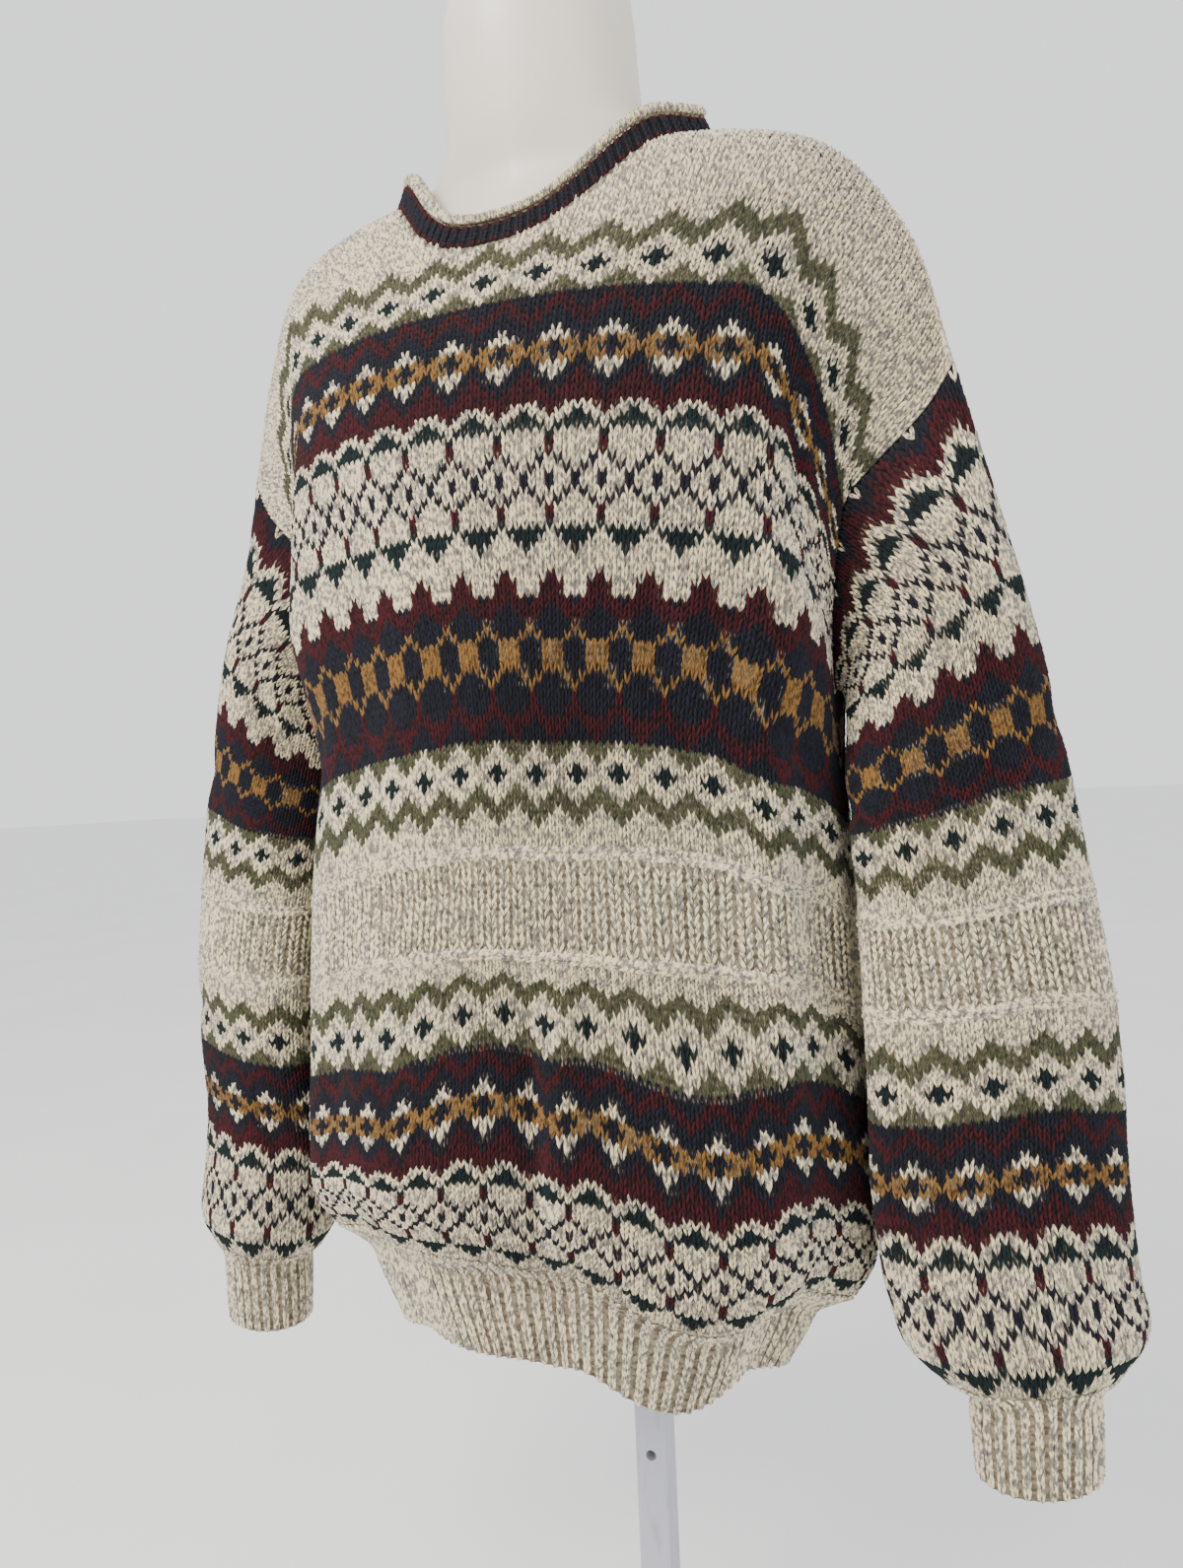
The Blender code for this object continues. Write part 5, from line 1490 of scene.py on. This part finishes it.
@dataclass
class DressForm:
    """The moulded torso, smoother than its solid."""

    sides: int = FORM_SIDES
    steps: int = 56

    def build(self) -> None:
        """Loft the form through its rings and close both ends."""
        table = np.array(FORM)
        knots = np.concatenate([[0.0], np.cumsum(np.hypot(np.diff(table[:, 0]), np.diff(table[:, 1])))])
        places = np.unique(np.concatenate([knots, np.linspace(0, knots[-1], self.steps)]))
        read = hermite(knots, table, places)
        angle = 2 * math.pi * np.arange(self.sides) / self.sides
        across, ahead = np.sin(angle), -np.cos(angle)
        power = 2 / read[:, 4:5]
        x = read[:, 1:2] * np.sign(across) * np.abs(across) ** power
        depth = np.where(ahead < 0, read[:, 2:3], read[:, 3:4])
        y = depth * np.sign(ahead) * np.abs(ahead) ** power
        z = np.broadcast_to(read[:, 0:1], x.shape)
        grid = np.stack([x, y, z], -1) + BODY_CENTRE
        count = len(grid)
        points = np.concatenate([grid.reshape(-1, 3), grid[0].mean(0)[None], grid[-1].mean(0)[None]])
        faces = []
        for level in range(count - 1):
            for step in range(self.sides):
                after = (step + 1) % self.sides
                a, b = level * self.sides + step, level * self.sides + after
                faces.append((a, b, b + self.sides))
                faces.append((a, b + self.sides, a + self.sides))
        last = (count - 1) * self.sides
        for step in range(self.sides):
            after = (step + 1) % self.sides
            faces.append((after, step, count * self.sides))
            faces.append((last + step, last + after, count * self.sides + 1))
        u = np.arange(self.sides) / self.sides
        v = np.linspace(0.02, 0.98, count)
        uv = np.stack(np.broadcast_arrays(u[None, :] * 0.98 + 0.01, v[:, None]), -1).reshape(-1, 2)
        uv = np.concatenate([uv, [[0.5, 0.005], [0.5, 0.995]]])
        obj = build_mesh("form_torso", points, np.array(faces), [FormFinish().material()],
                         np.zeros(len(faces), int), uv)
        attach(obj, BODY)
        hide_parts("dress_form")
        LOG.info("form_torso: %d triangles", len(faces))


@dataclass
class Stand:
    """The pole stand: its solids are kept and get their paint."""

    nodes: tuple = ("pole", "pole_socket", "base_plate", "form_flange")

    def build(self) -> None:
        """Paint the stand."""
        paint = SteelFinish("stand_painted_steel").material()
        for name in self.nodes:
            obj = bpy.data.objects[name]
            obj.data.materials.clear()
            obj.data.materials.append(paint)
            LOG.info("%s: painted", name)


@dataclass
class Studio:
    """Camera, pale floor and soft lights."""

    azimuth: float = math.radians(22.0)
    distance: float = 0.71
    height: float = 0.595
    roll: float = math.radians(2.4)
    focal_px: float = 1170.0
    axis_px: float = 637.0
    image: tuple = (1200, 1591)
    sensor: float = 36.0

    def camera(self) -> None:
        """Put the camera where the photograph was taken."""
        yaw = math.atan((self.axis_px - self.image[0] / 2) / self.focal_px)
        back = np.array([math.sin(self.azimuth), -math.cos(self.azimuth), 0.0])
        side = np.array([math.cos(self.azimuth), math.sin(self.azimuth), 0.0])
        ahead = -back * math.cos(yaw) - side * math.sin(yaw)
        right = side * math.cos(yaw) - back * math.sin(yaw)
        up = np.cross(right, ahead)
        turned_right = right * math.cos(self.roll) - up * math.sin(self.roll)
        turned_up = up * math.cos(self.roll) + right * math.sin(self.roll)
        place = back * self.distance + np.array([0.0, 0.0, self.height])
        columns = np.stack([turned_right, turned_up, -ahead, place], -1)
        data = bpy.data.cameras.new("camera")
        data.sensor_width = self.sensor
        data.lens = self.sensor * self.focal_px / self.image[1]
        data.clip_start = 0.02
        obj = bpy.data.objects.new("camera", data)
        obj.matrix_world = Matrix(np.vstack([columns, [0.0, 0.0, 0.0, 1.0]]).tolist())
        bpy.context.scene.collection.objects.link(obj)
        bpy.context.scene.camera = obj

    def light(self, name: str, place: tuple, aim: tuple, size: float, power: float, colour: tuple) -> None:
        """Add one soft square light."""
        data = bpy.data.lights.new(name, "AREA")
        data.size = size
        data.energy = power
        data.color = colour
        obj = bpy.data.objects.new(name, data)
        ahead = unit(np.array(aim) - np.array(place))
        right = unit(np.cross(ahead, [0.0, 0.0, 1.0]))
        columns = np.stack([right, np.cross(right, ahead), -ahead, place], -1)
        obj.matrix_world = Matrix(np.vstack([columns, [0.0, 0.0, 0.0, 1.0]]).tolist())
        bpy.context.scene.collection.objects.link(obj)

    def floor(self) -> None:
        """A wide pale floor under the base plate."""
        reach = 30.0
        points = np.array([(-reach, -reach, 0), (reach, -reach, 0), (reach, reach, 0), (-reach, reach, 0)])
        obj = build_mesh("floor", points, np.array([[0, 1, 2, 3]]), [FloorFinish().material()],
                         np.zeros(1, int), points[:, :2] / (2 * reach) + 0.5)
        obj.location.z = -0.0005

    def world(self) -> None:
        """A pale surround."""
        world = bpy.data.worlds.new("surround")
        world.use_nodes = True
        world.node_tree.nodes["Background"].inputs["Color"].default_value = (0.98, 0.99, 1.0, 1.0)
        world.node_tree.nodes["Background"].inputs["Strength"].default_value = 1.4
        bpy.context.scene.world = world

    def build(self) -> None:
        """Set up the studio."""
        self.camera()
        self.floor()
        self.world()
        self.light("key", (-0.6, -1.7, 1.9), (0.0, 0.0, 0.65), 1.0, 62.0, (1.0, 0.96, 0.90))
        self.light("fill", (1.9, -1.0, 1.1), (0.0, 0.0, 0.55), 1.4, 16.0, (0.94, 0.97, 1.0))


def main() -> None:
    """Build the studio and the whole object."""
    logging.basicConfig(level=logging.INFO, format="%(name)s: %(message)s")
    Studio().build()
    Sweater(Wardrobe()).build()
    DressForm().build()
    Stand().build()


if __name__ == "__main__":
    main()
